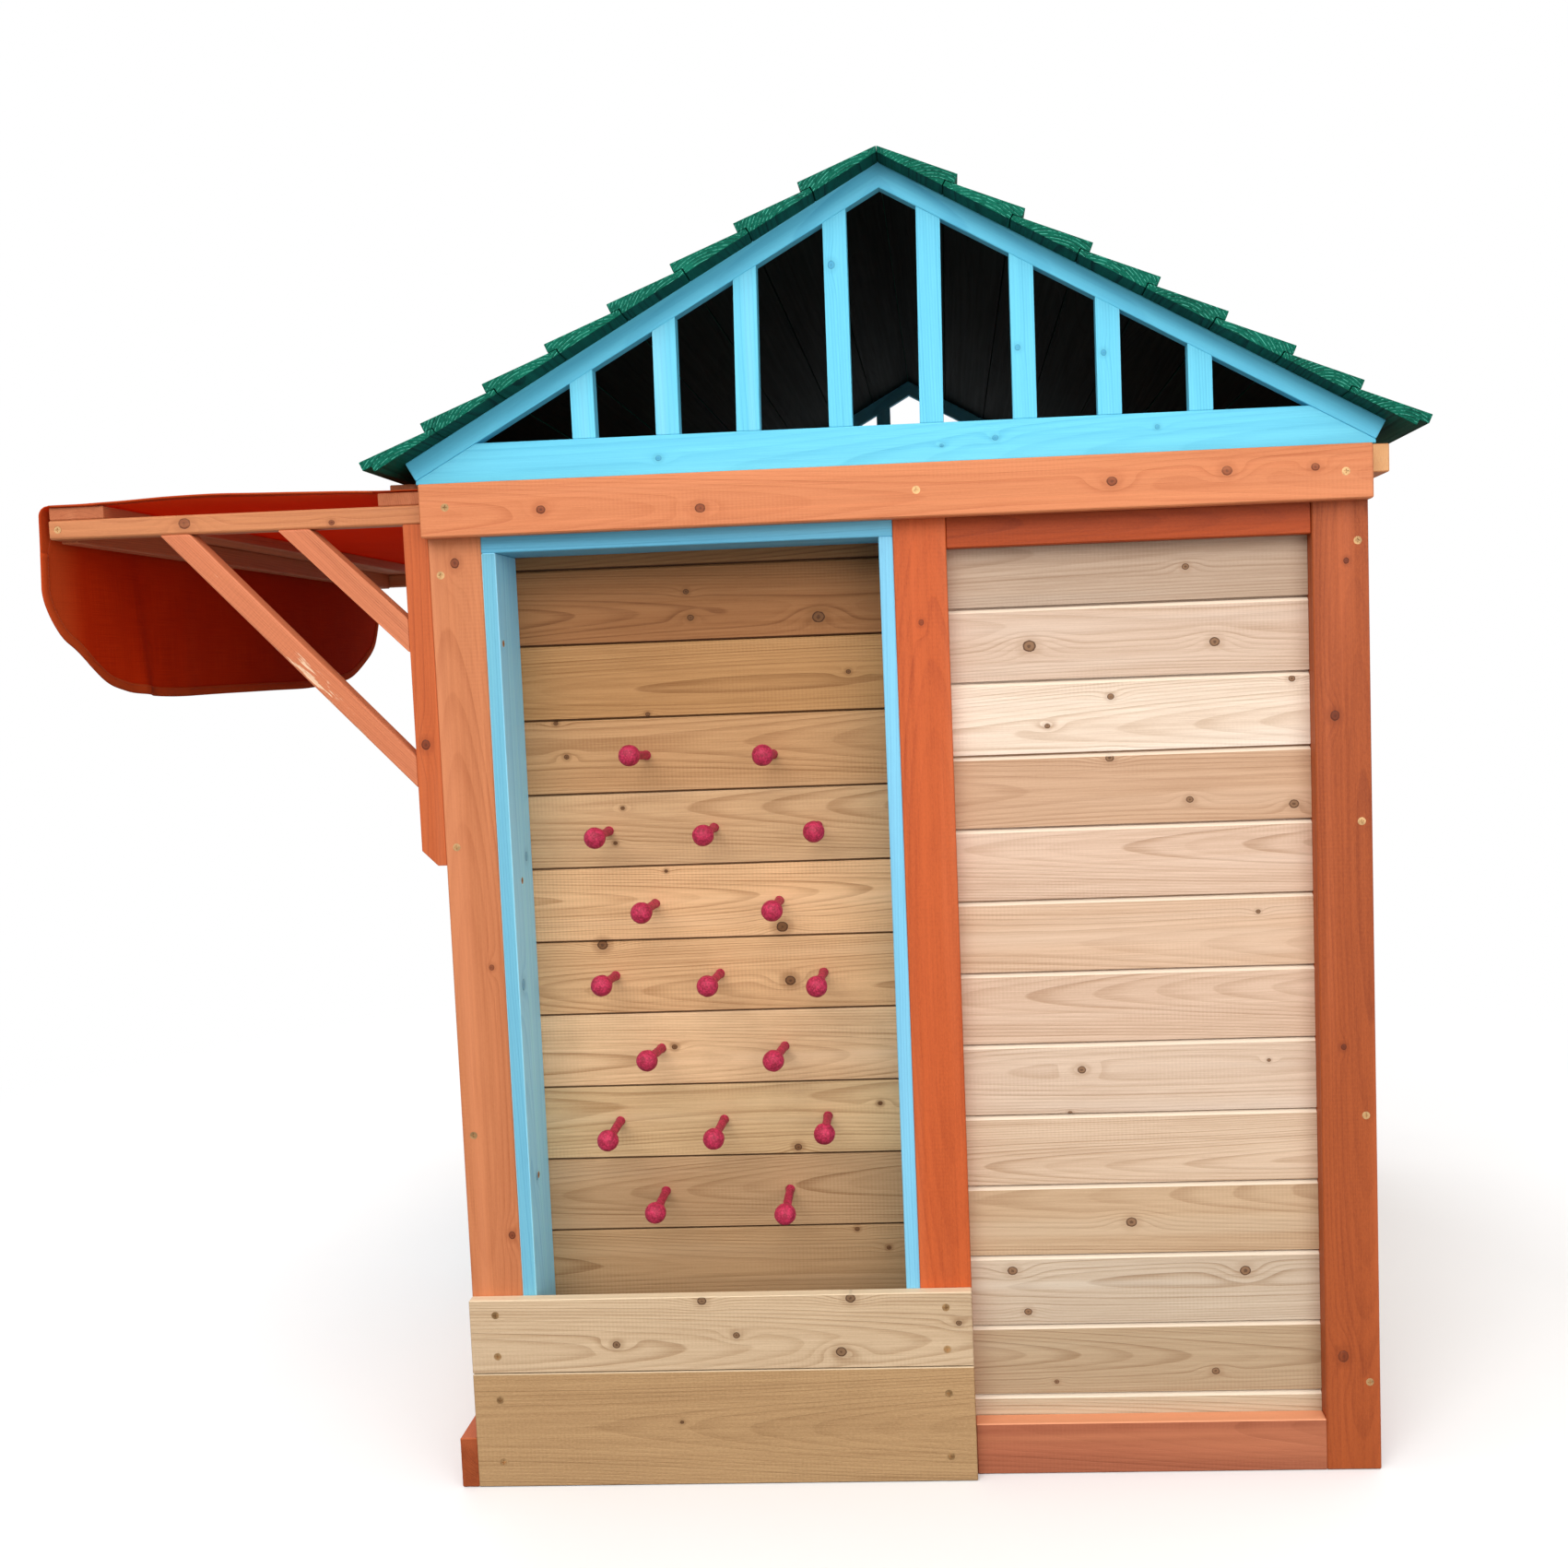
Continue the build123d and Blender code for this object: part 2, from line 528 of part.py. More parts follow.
# ------------------------------------------------------------------- half door
DOOR_Y0, DOOR_Y1 = 545.0, 970.0
DOOR_Z0, DOOR_Z1 = 66.0, 760.0
DOOR_THICK = 16.0
DOOR_BACK = LEFT + DOOR_THICK
DOOR_BOARDS = 5
DOOR_HALF_GAP = 0.5
DOOR_BEVEL = 3.0
LEDGE_THICK, LEDGE_HEIGHT = 18.0, 60.0
LEDGES_Z = (160, 620)     # undersides of the ledges
KNUCKLE_RADIUS = 4.0
PIN_RADIUS = 2.0
PIN_HEAD_RADIUS, PIN_HEAD_HEIGHT = 3.4, 2.0
BORE_PLAY = 0.05          # radial play in the door leaf's knuckle
PIN_X = LEFT - KNUCKLE_RADIUS
PIN_Y = (JAMB_Y1 + DOOR_Y0) / 2
LEAF_THICK = 1.6
LEAF_X = LEFT - LEAF_THICK
KNUCKLE_GAP = 0.3         # taken off at each knuckle joint
HINGE_HEIGHT = 60.0
HINGES = (("lower", 190.0), ("upper", 650.0))     # centre heights
HINGE_SCREW_PITCH = 20.0
KNOB_PROFILE = (  # radius, distance from the door face
    (0, 0), (7, 0), (7, 12), (10, 16), (15, 22), (16, 27), (14, 32), (8, 35), (0, 36),
)


def door():
    width = (DOOR_Y1 - DOOR_Y0) / DOOR_BOARDS
    for i in range(DOOR_BOARDS):
        y0 = DOOR_Y0 + i * width + (DOOR_HALF_GAP if i else 0)
        y1 = DOOR_Y0 + (i + 1) * width - (DOOR_HALF_GAP if i < DOOR_BOARDS - 1 else 0)
        bevel_x = LEFT + DOOR_BEVEL
        section = [(bevel_x, y0), (DOOR_BACK, y0), (DOOR_BACK, y1), (bevel_x, y1),
                   (LEFT, y1 - DOOR_BEVEL), (LEFT, y0 + DOOR_BEVEL)]
        add("door_boards", prism(section, "z", DOOR_Z0, DOOR_Z1))

    y0, y1 = DOOR_Y0 + 15, DOOR_Y1 - 30
    ledge_x1 = DOOR_BACK + LEDGE_THICK
    for z in LEDGES_Z:
        add("door_ledges", box(DOOR_BACK, ledge_x1, y0, y1, z, z + LEDGE_HEIGHT, EASE))
    brace_z0, brace_z1 = LEDGES_Z[0] + LEDGE_HEIGHT, LEDGES_Z[1]
    add("door_brace", prism([(y1 - 70, brace_z1), (y1 - 5, brace_z1), (y0 + 70, brace_z0),
                             (y0 + 5, brace_z0)], "x", DOOR_BACK, ledge_x1))
    add("door_stop", box(DOOR_BACK + 0.6, DOOR_BACK + 20, DOOR_Y1 - 16, AWNING_POST_Y0,
                         DOOR_Z0, DOOR_Z1, FINE_EASE))
    add("door_knob", place(turned(KNOB_PROFILE), (LEFT, DOOR_Y1 - 42, 600.0), "-x"))


def on_pin(radius, z0, z1):
    """Cylinder on the hinge pin's axis."""
    return Pos(PIN_X, PIN_Y, (z0 + z1) / 2) * Cylinder(radius, z1 - z0)


def with_knuckle(leaf, y0, y1, z0, z1, bore):
    """Leaf with a strap from y0 to y1 and a bored knuckle joined on."""
    barrel = on_pin(KNUCKLE_RADIUS, z0, z1) - on_pin(bore, z0 - 1, z1 + 1)
    leaf = leaf + box(LEAF_X, LEFT, y0, y1, z0, z1) + barrel
    return leaf - on_pin(bore, z0, z1)


def hinge(level, centre):
    z0, z1 = centre - HINGE_HEIGHT / 2, centre + HINGE_HEIGHT / 2
    joint0, joint1 = z0 + HINGE_HEIGHT / 3, z1 - HINGE_HEIGHT / 3
    post_leaf, door_leaf = "hinge_post_leaf_" + level, "hinge_door_leaf_" + level

    # the post leaf carries the two outer knuckles
    leaf = box(LEAF_X, LEFT, PIN_Y - 30, PIN_Y - 5, z0, z1)
    for low, high in ((z0, joint0 - KNUCKLE_GAP), (joint1 + KNUCKLE_GAP, z1)):
        leaf = with_knuckle(leaf, PIN_Y - 6, PIN_Y, low, high, PIN_RADIUS)
    add(post_leaf, leaf.solid())

    # the door leaf carries the middle knuckle
    leaf = box(LEAF_X, LEFT, PIN_Y + 5, PIN_Y + 34, z0, z1)
    leaf = with_knuckle(leaf, PIN_Y, PIN_Y + 6, joint0 + KNUCKLE_GAP, joint1 - KNUCKLE_GAP,
                        PIN_RADIUS + BORE_PLAY)
    add(door_leaf, leaf.solid())

    pin = on_pin(PIN_RADIUS, z0, z1) + on_pin(PIN_HEAD_RADIUS, z1, z1 + PIN_HEAD_HEIGHT)
    add("hinge_pins", pin.solid())

    heights = [centre + i * HINGE_SCREW_PITCH for i in (-1, 0, 1)]
    screws("hinge_screws_post", 18, [(LEAF_X, PIN_Y - 18, z) for z in heights], "-x",
           [post_leaf, "post_door_jamb"], head=7.0, shank=3.4)
    screws("hinge_screws_door", 15, [(LEAF_X, PIN_Y + 21, z) for z in heights], "-x",
           [door_leaf, "door_boards"], head=7.0, shank=3.4)


# ------------------------------------------------------------------ wood screws
def frame_screws():
    """Screws through the headers, the corner posts and the kickboards."""
    ends = (("near", "-y", 0, -HEADER_THICK, (1149, 1146, 1146)),
            ("far", "+y", DEPTH, DEPTH + HEADER_THICK, (1147, 1147, 1147)))
    for end, facing, _, y, heights in ends:
        screws("header_screws", 45, [(x, y, z) for x, z in zip((-501, 30, 501), heights)], facing,
               ["header_" + end] + [f"post_{end}_{side}" for side in ("left", "centre", "right")])
    screws("post_screws", 80, [(-517, 0, z) for z in (1075, 762, 421)], "-y",
           ["post_near_left", "left_wall_stile"])
    for end, facing, y, _, _ in ends:
        screws("post_screws", 80, [(518, y, z) for z in (1072, 758, 420, 105)], facing,
               [f"post_{end}_right", "right_wall_stiles"])
    spots = [(x, -KICK_THICK, z) for x in (-499, 30.5) for z in (209, 159, 106, 30)]
    screws("kickboard_screws", 40, spots, "-y",
           ["kickboard_upper", "kickboard_lower", "post_near_left", "post_near_centre"])


def peg_box_screws():
    x = LEFT_BAY[0] + LINING_THICK
    screws("peg_box_screws", 35, [(x, y, z) for y, z in ((14, 995), (36, 716), (36, 360))], "+x",
           ["peg_box_side_left", "post_near_left"], head=8.0)
    x = LEFT_BAY[1] - LINING_THICK
    screws("peg_box_screws", 35, [(x, 30, z) for z in (990, 690, 360)], "-x",
           ["peg_box_side_right", "post_near_centre"], head=8.0)


def awning_screws():
    for end, y, facing in (("near", 0, "-y"), ("far", AWNING_LENGTH, "+y")):
        screws("awning_screws", 45, [(AWNING_X + 10, y, 1145)], facing,
               ["awning_arm_" + end, "awning_front_rail"], head=8.0)
    for end, y, post in (("near", BRACKET_THICK / 2, "post_near_left"),
                         ("far", AWNING_LENGTH - BRACKET_THICK / 2, "post_awning_far")):
        screws("awning_screws", 50, [(CLEAT_X, y, z) for z in (1085, 920, 790)], "-x",
               ["awning_cleat_" + end, post], head=8.0)


# ------------------------------------------------------------- build and write
def write_parts():
    for group, members in SHARED.items():
        NODES[group] = [solid for member in members for solid in NODES.pop(member)]
    os.makedirs("parts", exist_ok=True)
    for name, solids in NODES.items():
        moved = [Location(SHIFT) * solid for solid in solids]
        shape = moved[0] if len(moved) == 1 else Compound(children=moved)
        shape.label = name
        export_step(shape, os.path.join("parts", name + ".step"))


posts()
peg_box()
peg_wall()
pegs()
kickboards()
gable_bay("near", "", RIGHT_BAY)
gable_bay("far", "_left", LEFT_BAY)
gable_bay("far", "_right", RIGHT_BAY)
right_wall()
left_wall()
gable("near")
gable("far")
roof()
awning()
door()
for level, height in HINGES:
    hinge(level, height)
frame_screws()
peg_box_screws()
awning_screws()
write_parts()
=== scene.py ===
# A wooden playhouse: a peg wall and a boarded bay on the near side, blue gables, a green
# pitched roof and an orange canvas awning.
# Frame: metres, +Z up.  X runs along the near wall and Y from the near wall to the far one;
# the camera stands on the -Y side.  The awning, counter and door are on the -X (left) side.
# "House" places are millimetres, with X = 0 under the ridge and Y = 0 at the near wall.
import math
import random
import bmesh
import bpy
from mathutils import Matrix, Vector, noise


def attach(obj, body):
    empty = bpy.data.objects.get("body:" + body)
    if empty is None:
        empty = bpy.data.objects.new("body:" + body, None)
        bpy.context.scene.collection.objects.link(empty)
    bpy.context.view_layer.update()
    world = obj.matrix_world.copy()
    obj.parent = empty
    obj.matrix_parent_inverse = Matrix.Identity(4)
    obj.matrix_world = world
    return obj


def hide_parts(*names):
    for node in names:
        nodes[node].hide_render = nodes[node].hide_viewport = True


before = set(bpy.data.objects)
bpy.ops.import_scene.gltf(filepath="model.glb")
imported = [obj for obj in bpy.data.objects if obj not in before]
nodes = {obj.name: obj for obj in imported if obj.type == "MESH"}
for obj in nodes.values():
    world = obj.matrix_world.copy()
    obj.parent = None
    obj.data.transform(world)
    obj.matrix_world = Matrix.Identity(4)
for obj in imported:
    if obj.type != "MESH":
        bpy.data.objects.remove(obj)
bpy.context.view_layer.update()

scene = bpy.context.scene

# place of the house origin in the frame (metres)
SHIFT_X, SHIFT_Y = 0.200, -0.630

ROOF_ANGLE = math.radians(29.00)
RIDGE_Z = 1.508         # metres
ROOF_REACH = 591.0      # from the ridge line out to the eave, millimetres
ROOF_DEPTH = 18
AWNING_MID_Y = -0.125   # plane midway between the paired awning pieces, metres


def house(x, y, z):
    """House millimetres to frame metres."""
    return Vector((x / 1000 + SHIFT_X, y / 1000 + SHIFT_Y, z / 1000))


def lin(tone):
    """sRGB 0-255 to linear RGBA."""
    parts = [v / 255 for v in tone]
    parts = [v / 12.92 if v <= 0.04045 else ((v + 0.055) / 1.055) ** 2.4 for v in parts]
    return (*parts, 1.0)


# ------------------------------------------------------------ shader building
class Tree:
    """Node tree of a material or world; its methods add nodes and return output sockets."""

    def __init__(self, owner):
        self.owner = owner
        owner.use_nodes = True
        self.nodes = owner.node_tree.nodes
        self.links = owner.node_tree.links
        self.nodes.clear()
        self.coords = self.node("TexCoord", {}).node.outputs

    def node(self, kind, inputs, output=0, **settings):
        """Add a node; inputs maps an input's index or name to a socket or a value."""
        node = self.nodes.new("ShaderNode" + kind)
        place = 40 * len(self.nodes)
        node.location = (place, -(place * 7) % 900)
        for key, value in settings.items():
            setattr(node, key, value)
        for key, value in inputs.items():
            if isinstance(value, bpy.types.NodeSocket):
                self.links.new(value, node.inputs[key])
            else:
                node.inputs[key].default_value = value
        return node.outputs[output]

    def calc(self, operation, first, second=0.0, third=0.0, clamp=False):
        values = {0: first, 1: second, 2: third}
        return self.node("Math", values, operation=operation, use_clamp=clamp)

    def add(self, first, second, clamp=False):
        return self.calc("ADD", first, second, clamp=clamp)

    def sub(self, first, second):
        return self.calc("SUBTRACT", first, second)

    def mul(self, first, second):
        return self.calc("MULTIPLY", first, second)

    def div(self, first, second):
        return self.calc("DIVIDE", first, second)

    def mul_add(self, first, second, third, clamp=False):
        return self.calc("MULTIPLY_ADD", first, second, third, clamp)

    def abs(self, value):
        return self.calc("ABSOLUTE", value)

    def length(self, first, second):
        """Length of a pair of coordinates."""
        return self.calc("SQRT", self.mul_add(first, first, self.mul(second, second)))

    def swing(self, value, amount, base=None):
        """Centre a 0..1 value on nothing, scale it and add it to the base, if any."""
        middle = self.sub(value, 0.5)
        return self.mul(middle, amount) if base is None else self.mul_add(middle, amount, base)

    def turn_first(self, first, second, turn):
        """First coordinate of a pair turned by an angle; turn = (cosine, sine)."""
        return self.sub(self.mul(first, turn[0]), self.mul(second, turn[1]))

    def turn_second(self, first, second, turn):
        return self.add(self.mul(first, turn[1]), self.mul(second, turn[0]))

    def step(self, value, start, end, low=0.0, high=1.0):
        """Smooth low..high as value goes from start to end (either order)."""
        if end < start:
            start, end, low, high = end, start, high, low
        values = {0: value, 1: start, 2: end, 3: low, 4: high}
        return self.node("MapRange", values, interpolation_type="SMOOTHSTEP")

    def vec(self, x, y, z):
        return self.node("CombineXYZ", {0: x, 1: y, 2: z})

    def split(self, vector):
        return list(self.node("SeparateXYZ", {0: vector}).node.outputs)

    def noise(self, vector, scale, detail, rough=0.5):
        values = {"Vector": vector, "Scale": scale, "Detail": detail, "Roughness": rough}
        return self.node("TexNoise", values)

    def rand(self, value):
        return self.node("TexWhiteNoise", {"W": value}, noise_dimensions="1D")

    def mix(self, factor, first, second, mode="MIX"):
        values = {0: factor, 6: first, 7: second}
        return self.node("Mix", values, 2, data_type="RGBA", blend_type=mode)

    def tint(self, color, by):
        return self.mix(1.0, color, by, "MULTIPLY")

    def stripes(self, position, tones):
        """Equal bands of linear RGB tones over position 0..1."""
        output = self.node("ValToRGB", {0: position})
        ramp = output.node.color_ramp
        ramp.interpolation = "CONSTANT"
        while len(ramp.elements) > 1:
            ramp.elements.remove(ramp.elements[-1])
        for i, tone in enumerate(tones):
            band = ramp.elements.new(i / len(tones)) if i else ramp.elements[0]
            band.position = i / len(tones)
            band.color = (*tone, 1.0)
        return output

    def bump(self, height, distance, strength=1.0):
        values = {"Strength": strength, "Distance": distance, "Height": height}
        return self.node("Bump", values)

    def principled(self, color, rough, normal, specular, metallic=0.0):
        return self.node("BsdfPrincipled", {
            "Base Color": color, "Roughness": rough, "Metallic": metallic,
            "Specular IOR Level": specular, "Normal": normal})

    def finish(self, shader, kind="OutputMaterial"):
        self.node_out = self.nodes.new("ShaderNode" + kind)
        self.links.new(shader, self.node_out.inputs[0])
        return self.owner


def material_tree(name):
    return Tree(bpy.data.materials.new(name))


class Wood(Tree):
    """Wood in grain space: along the grain, across it and through the piece.

    grain names the three axes, such as "zxy", or is a function of the tree that returns
    the three coordinates and the part of the normal that lies along the grain.
    """

    def __init__(self, name, grain, seed, pitch, start, centre):
        super().__init__(bpy.data.materials.new(name))
        self.place = self.split(self.coords["Object"])
        self.normal = self.split(self.coords["Normal"])
        if callable(grain):
            self.along, self.across, self.depth, self.facing = grain(self)
        else:
            axes = ["xyz".index(axis) for axis in grain]
            self.along, self.across, self.depth = (self.place[axis] for axis in axes)
            self.facing = self.normal[axes[0]]
        if pitch:
            # every board has its own middle line and its own three random values
            self.board = self.calc("FLOOR", self.div(self.sub(self.across, start), pitch))
            middle = self.mul_add(self.add(self.board, 0.5), pitch, start)
            self.local = self.sub(self.across, middle)
            self.draws = [self.rand(self.mul_add(self.board, factor, seed + offset))
                          for factor, offset in ((1.37, 0.11), (2.11, 0.53), (3.71, 0.79))]
        else:
            self.local = self.sub(self.across, centre)
            dice = random.Random(seed * 7 + 3)
            self.draws = [dice.random() for _ in range(3)]
        # each board is cut from another place along the tree
        self.slid = self.mul_add(self.draws[0], 9.0, self.along)

    def streaks(self, along, across, depth, detail, rough=0.5):
        """Noise with its own frequency per metre in each direction of grain space."""
        vector = self.vec(self.mul(self.slid, along), self.mul(self.across, across),
                          self.mul(self.depth, depth))
        return self.noise(vector, 1.0, detail, rough)

    def coat(self, mask, tone, amount):
        """Lay an sRGB tone over the colour."""
        self.color = self.mix(self.mul(mask, amount), self.color, lin(tone))

    def shade(self, mask, by):
        """Multiply the colour by a linear tint where the mask is set."""
        self.color = self.mix(mask, self.color, self.tint(self.color, by))

    def knot_fields(self, knots):
        """Squared distance to the nearest knot, in radii, and its push on the rings."""
        core = push = None
        for along, across, radius in knots:
            ahead = self.div(self.sub(self.along, along), radius * 1.15)
            aside = self.div(self.sub(self.across, across), radius)
            near = self.mul_add(ahead, ahead, self.mul(aside, aside))
            # the rings swell round a knot, further along the grain than across it
            swell = self.mul_add(self.mul(ahead, 0.22), ahead, self.mul(aside, aside))
            swell = self.mul(self.calc("POWER", 2.718, self.mul(swell, -0.20)), radius)
            push = swell if push is None else self.add(push, swell)
            core = near if core is None else self.calc("MINIMUM", core, near)
        return core, push

    def ring_radius(self, seed, mid, fold, push):
        """Distance from the wandering pith, roughened and swollen at the knots."""
        pith, wander = 0.035, 0.012     # mean depth of the pith and how far it sways, metres
        warp, jag = 0.0016, 0.0006      # broad and fine waviness of the rings, metres
        slow = self.vec(self.mul(self.slid, 0.9), self.mul(self.draws[1], 7.0), seed * 1.7)
        slow = self.noise(slow, 1.0, 1.0)
        self.waves = self.streaks(3.0, 11.0, 11.0, 1.5)
        ripple = self.streaks(11.0, 70.0, 70.0, 2.0)
        pith_across = self.add(self.swing(self.draws[1], 0.06), self.swing(slow, 0.06))
        sway = self.calc("SINE", self.mul_add(self.slid, 2.9, seed))
        pith_depth = self.add(self.mul_add(self.draws[2], 0.045, pith), self.mul(sway, wander))
        across = self.sub(self.local, pith_across)
        depth = self.depth if fold is None else self.abs(self.sub(self.depth, fold))
        depth = self.add(self.sub(depth, mid), pith_depth)
        radius = self.length(across, depth)
        radius = self.swing(self.waves, warp, radius)
        radius = self.swing(ripple, jag, radius)
        return radius if push is None else self.add(radius, push)

    def draw_knots(self, core, late, knot, heart, halo, paint):
        rough_core = self.noise(self.coords["Object"], 330.0, 2.0, 0.6)
        rough_core = self.swing(rough_core, 0.5, core)
        inside = self.step(rough_core, 1.18, 0.92)
        rim = self.mul(self.step(rough_core, 0.50, 0.85), inside)
        eye = self.step(rough_core, 0.16, 0.02)
        dark = self.calc("MAXIMUM", rim, self.mul(eye, 0.8))
        dark_tone, late_tone = lin(knot), lin(late)
        body = [heart * dark_tone[i] * 1.6 + (1 - heart) * late_tone[i] * 0.8 for i in range(3)]
        knot_color = self.mix(dark, (*body, 1.0), dark_tone)
        around = self.mul(self.step(core, 7.0, 0.8), halo)
        halo_tone = (late_tone[0] * 0.8, late_tone[1] * 0.74, late_tone[2] * 0.66, 1.0)
        self.color = self.mix(around, self.color, halo_tone)
        self.color = self.mix(self.mul(inside, 0.95 - 0.55 * paint), self.color, knot_color)
        # the rim is sunk and the body stands proud
        self.height = self.add(self.height, self.mul(rim, -1.1))
        self.height = self.add(self.height, self.mul(inside, 0.7))

    def wear(self, early, late, streak, worn, grime):
        if streak:
            # brush laps of the stain
            laps = self.streaks(0.9, 60.0, 60.0, 3.0, 0.6)
            tone = [min(255, v * 1.10 + 6) for v in early]
            self.coat(self.step(laps, 0.44, 0.72), tone, streak)
        if worn:
            # finish rubbed off: bare wood shows in narrow dry patches
            *tone, limit = worn
            narrow = self.streaks(16.0, 150.0, 150.0, 4.0, 0.6)
            broad = self.streaks(3.4, 12.0, 12.0, 1.0)
            bare = self.step(self.mul_add(broad, 0.55, self.mul(narrow, 0.6)), limit, limit + 0.03)
            self.coat(bare, tone, 0.8)
            self.height = self.mul_add(bare, -0.5, self.height)
        if grime:
            patches = self.noise(self.coords["Object"], 3.2, 4.0, 0.62)
            self.coat(self.step(patches, 0.5, 0.75), [v * 0.62 for v in late], grime)

    def shade_faces(self, under, top_highlight, under_edge_shade, front):
        """Painted light and shade: colour set by the way a face looks, in place of the light that
        falls on it.
        """
        if under:
            # painted shade: faces turned down are darkened, far more inside the walls than outside
            outside, inside = under
            down = self.step(self.normal[2], -0.25, -0.6)
            # within the near and far walls, then within the left and right walls
            within = self.mul(
                self.step(self.abs(self.place[1]), 0.634, 0.618),
                self.step(self.abs(self.sub(self.place[0], SHIFT_X)), 0.56, 0.52))
            level = self.mul_add(within, inside - outside, outside)
            self.shade(down, self.vec(level, level, level))
        # painted highlight: faces and edges turned up are made lighter
        if top_highlight:
            *tone, amount = top_highlight
            self.coat(self.step(self.normal[2], 0.45, 0.68), tone, amount)
        # painted shade on edges turned down
        if under_edge_shade:
            self.shade(self.step(self.normal[2], -0.45, -0.68), (*under_edge_shade, 1.0))
        # painted shade on faces looking to -Y
        if front:
            self.shade(self.step(self.normal[1], -0.7, -0.9), (*front, 1.0))

    def draw_ends(self, radius, endgrain, endtint, endlines):
        """Colour the sawn ends; returns their mask."""
        end = self.step(self.abs(self.facing), 0.6, 0.85)
        self.shade(end, (endgrain, endgrain * 0.96, endgrain * 0.92, 1))
        if endtint:
            *tone, amount = endtint
            self.coat(end, tone, amount)
        if endlines:
            *tone, amount, spacing = endlines
            phase = self.swing(self.waves, 1.6, self.div(radius, spacing))
            phase = self.calc("FRACT", phase)
            lines = self.mul(self.step(phase, 0.62, 0.84), self.step(phase, 1.0, 0.86))
            breaks = self.vec(self.mul(self.along, 60.0), self.mul(self.across, 160.0),
                              self.mul(self.depth, 260.0))
            breaks = self.noise(breaks, 1.0, 3.0, 0.7)
            lines = self.mul(self.mul(lines, self.step(breaks, 0.42, 0.6)), amount)
            self.coat(end, tone, lines)
            self.height = self.add(self.height, self.mul(self.mul(end, lines), 0.8))
        return end


def dress(material, pieces):
    for piece in pieces.split():
        slots = nodes[piece].data.materials
        slots.clear()
        slots.append(material)


def wood(name, pieces, grain, early, late, seed, ring, contrast, blotch, rough, bump,
         pitch=None, start=0.0, tints=None, centre=0.0, mid=0.0, fold=None,
         knots=(), knot=None, halo=0.0, heart=0.6, paint=0.0, speck=0.0, chatter=0.0,
         pale=None, streak=0.0, worn=None, grime=0.0, under=None, top_highlight=None, under_edge_shade=None,
         front=None, endgrain=0.72, endtint=None, endlines=None, specular=0.3):
    """Make a wood material and give it to the pieces.  Tones are sRGB, lengths metres.

    early, late     tones of the soft and the hard part of a ring
    ring, contrast  ring spacing and how dark its line is
    blotch, speck, chatter, streak, grime
                    amounts of blotches, fine specks, planer marks, brush laps and dirt
    rough, bump     roughness range and relief
    pitch, start    board width and the lower edge of the first board, across the grain
    tints           a linear multiplier for each board
    centre          middle of a single piece, across the grain
    mid, fold       middle depth; pieces in pairs are folded about the plane between them
    knots           (along, across, radius) of each; knot is their tone, halo the darkening
                    round them, heart how much of the tone fills them
    paint           0..1 hides the rings under an even coat
    pale, lip, endtint   (red, green, blue, amount): lighter streaks along the grain,
                    a painted highlight on faces and edges turned up, sawn ends left nearly bare
    worn            (red, green, blue, threshold) of rubbed patches
    under           painted shade on undersides, outside and inside the walls
    soffit, front   painted shade: linear multipliers for edges turned down and faces looking to -Y
    endgrain        darkening of the sawn ends
    endlines        (red, green, blue, amount, spacing) of light ring lines on sawn ends
    """
    tree = Wood(name, grain, seed, pitch, start, centre)
    core, push = tree.knot_fields(knots)
    radius = tree.ring_radius(seed, mid, fold, push)

    # dark line at the end of each ring, of random strength
    phase = tree.div(radius, ring)
    part = tree.calc("FRACT", phase)
    line = tree.mul(tree.step(part, 0.38, 0.90), tree.step(part, 1.0, 0.92))
    strength = tree.rand(tree.calc("FLOOR", phase))
    line = tree.mul(line, tree.mul_add(strength, 0.85, 0.22))

    # share of the late tone: rings, fine and coarse fibres, blotches
    fibres = tree.streaks(16.0, 760.0, 760.0, 3.0, 0.65)
    coarse = tree.streaks(2.6, 170.0, 170.0, 3.0, 0.6)
    patches = tree.streaks(2.2, 10.0, 10.0, 3.0, 0.6)
    soft = 1 - 0.6 * paint
    dark = tree.mul(line, contrast)
    dark = tree.add(dark, tree.swing(fibres, 0.62 * soft))
    dark = tree.add(dark, tree.swing(coarse, 0.70 * soft))
    dark = tree.add(dark, tree.swing(patches, blotch * 2.0, 0.16), clamp=True)
    if speck:
        specks = tree.streaks(260.0, 520.0, 520.0, 2.0, 0.7)
        dark = tree.add(dark, tree.swing(specks, speck * 2), clamp=True)
    if chatter:
        # faint planer marks across the grain every 4.6 mm, only in places
        marks = tree.calc("SINE", tree.mul(tree.along, 2 * math.pi / 0.0046))
        spots = tree.vec(tree.mul(tree.slid, 5.0), tree.mul(tree.across, 22.0), 0.5)
        spots = tree.step(tree.noise(spots, 1.0, 1.0), 0.48, 0.66)
        dark = tree.add(dark, tree.mul(tree.mul(marks, spots), chatter), clamp=True)
    tree.color = tree.mix(dark, lin(early), lin(late))

    if pale:
        *tone, amount = pale
        bands = tree.streaks(1.1, 30.0, 20.0, 2.0)
        tree.coat(tree.step(bands, 0.52, 0.75), tone, amount)
    if tints:
        position = tree.div(tree.add(tree.board, 0.5), float(len(tints)))
        tree.color = tree.tint(tree.color, tree.stripes(position, tints))
    elif pitch:
        # a random lightness for each board
        value = tree.mul_add(tree.draws[2], 0.28, 0.84)
        green = tree.mul_add(tree.draws[1], 0.06, tree.mul(value, 0.965))
        tree.color = tree.tint(tree.color, tree.vec(value, green, tree.mul(value, 0.96)))

    tree.height = tree.add(tree.mul(line, -0.5 * (1 - 0.5 * paint)), tree.mul(fibres, 0.6))
    if speck:
        tree.height = tree.add(tree.height, tree.mul(specks, speck * 1.6))
    if knots:
        tree.draw_knots(core, late, knot, heart, halo, paint)
    tree.wear(early, late, streak, worn, grime)
    tree.shade_faces(under, top_highlight, under_edge_shade, front)
    end = tree.draw_ends(radius, endgrain, endtint, endlines)

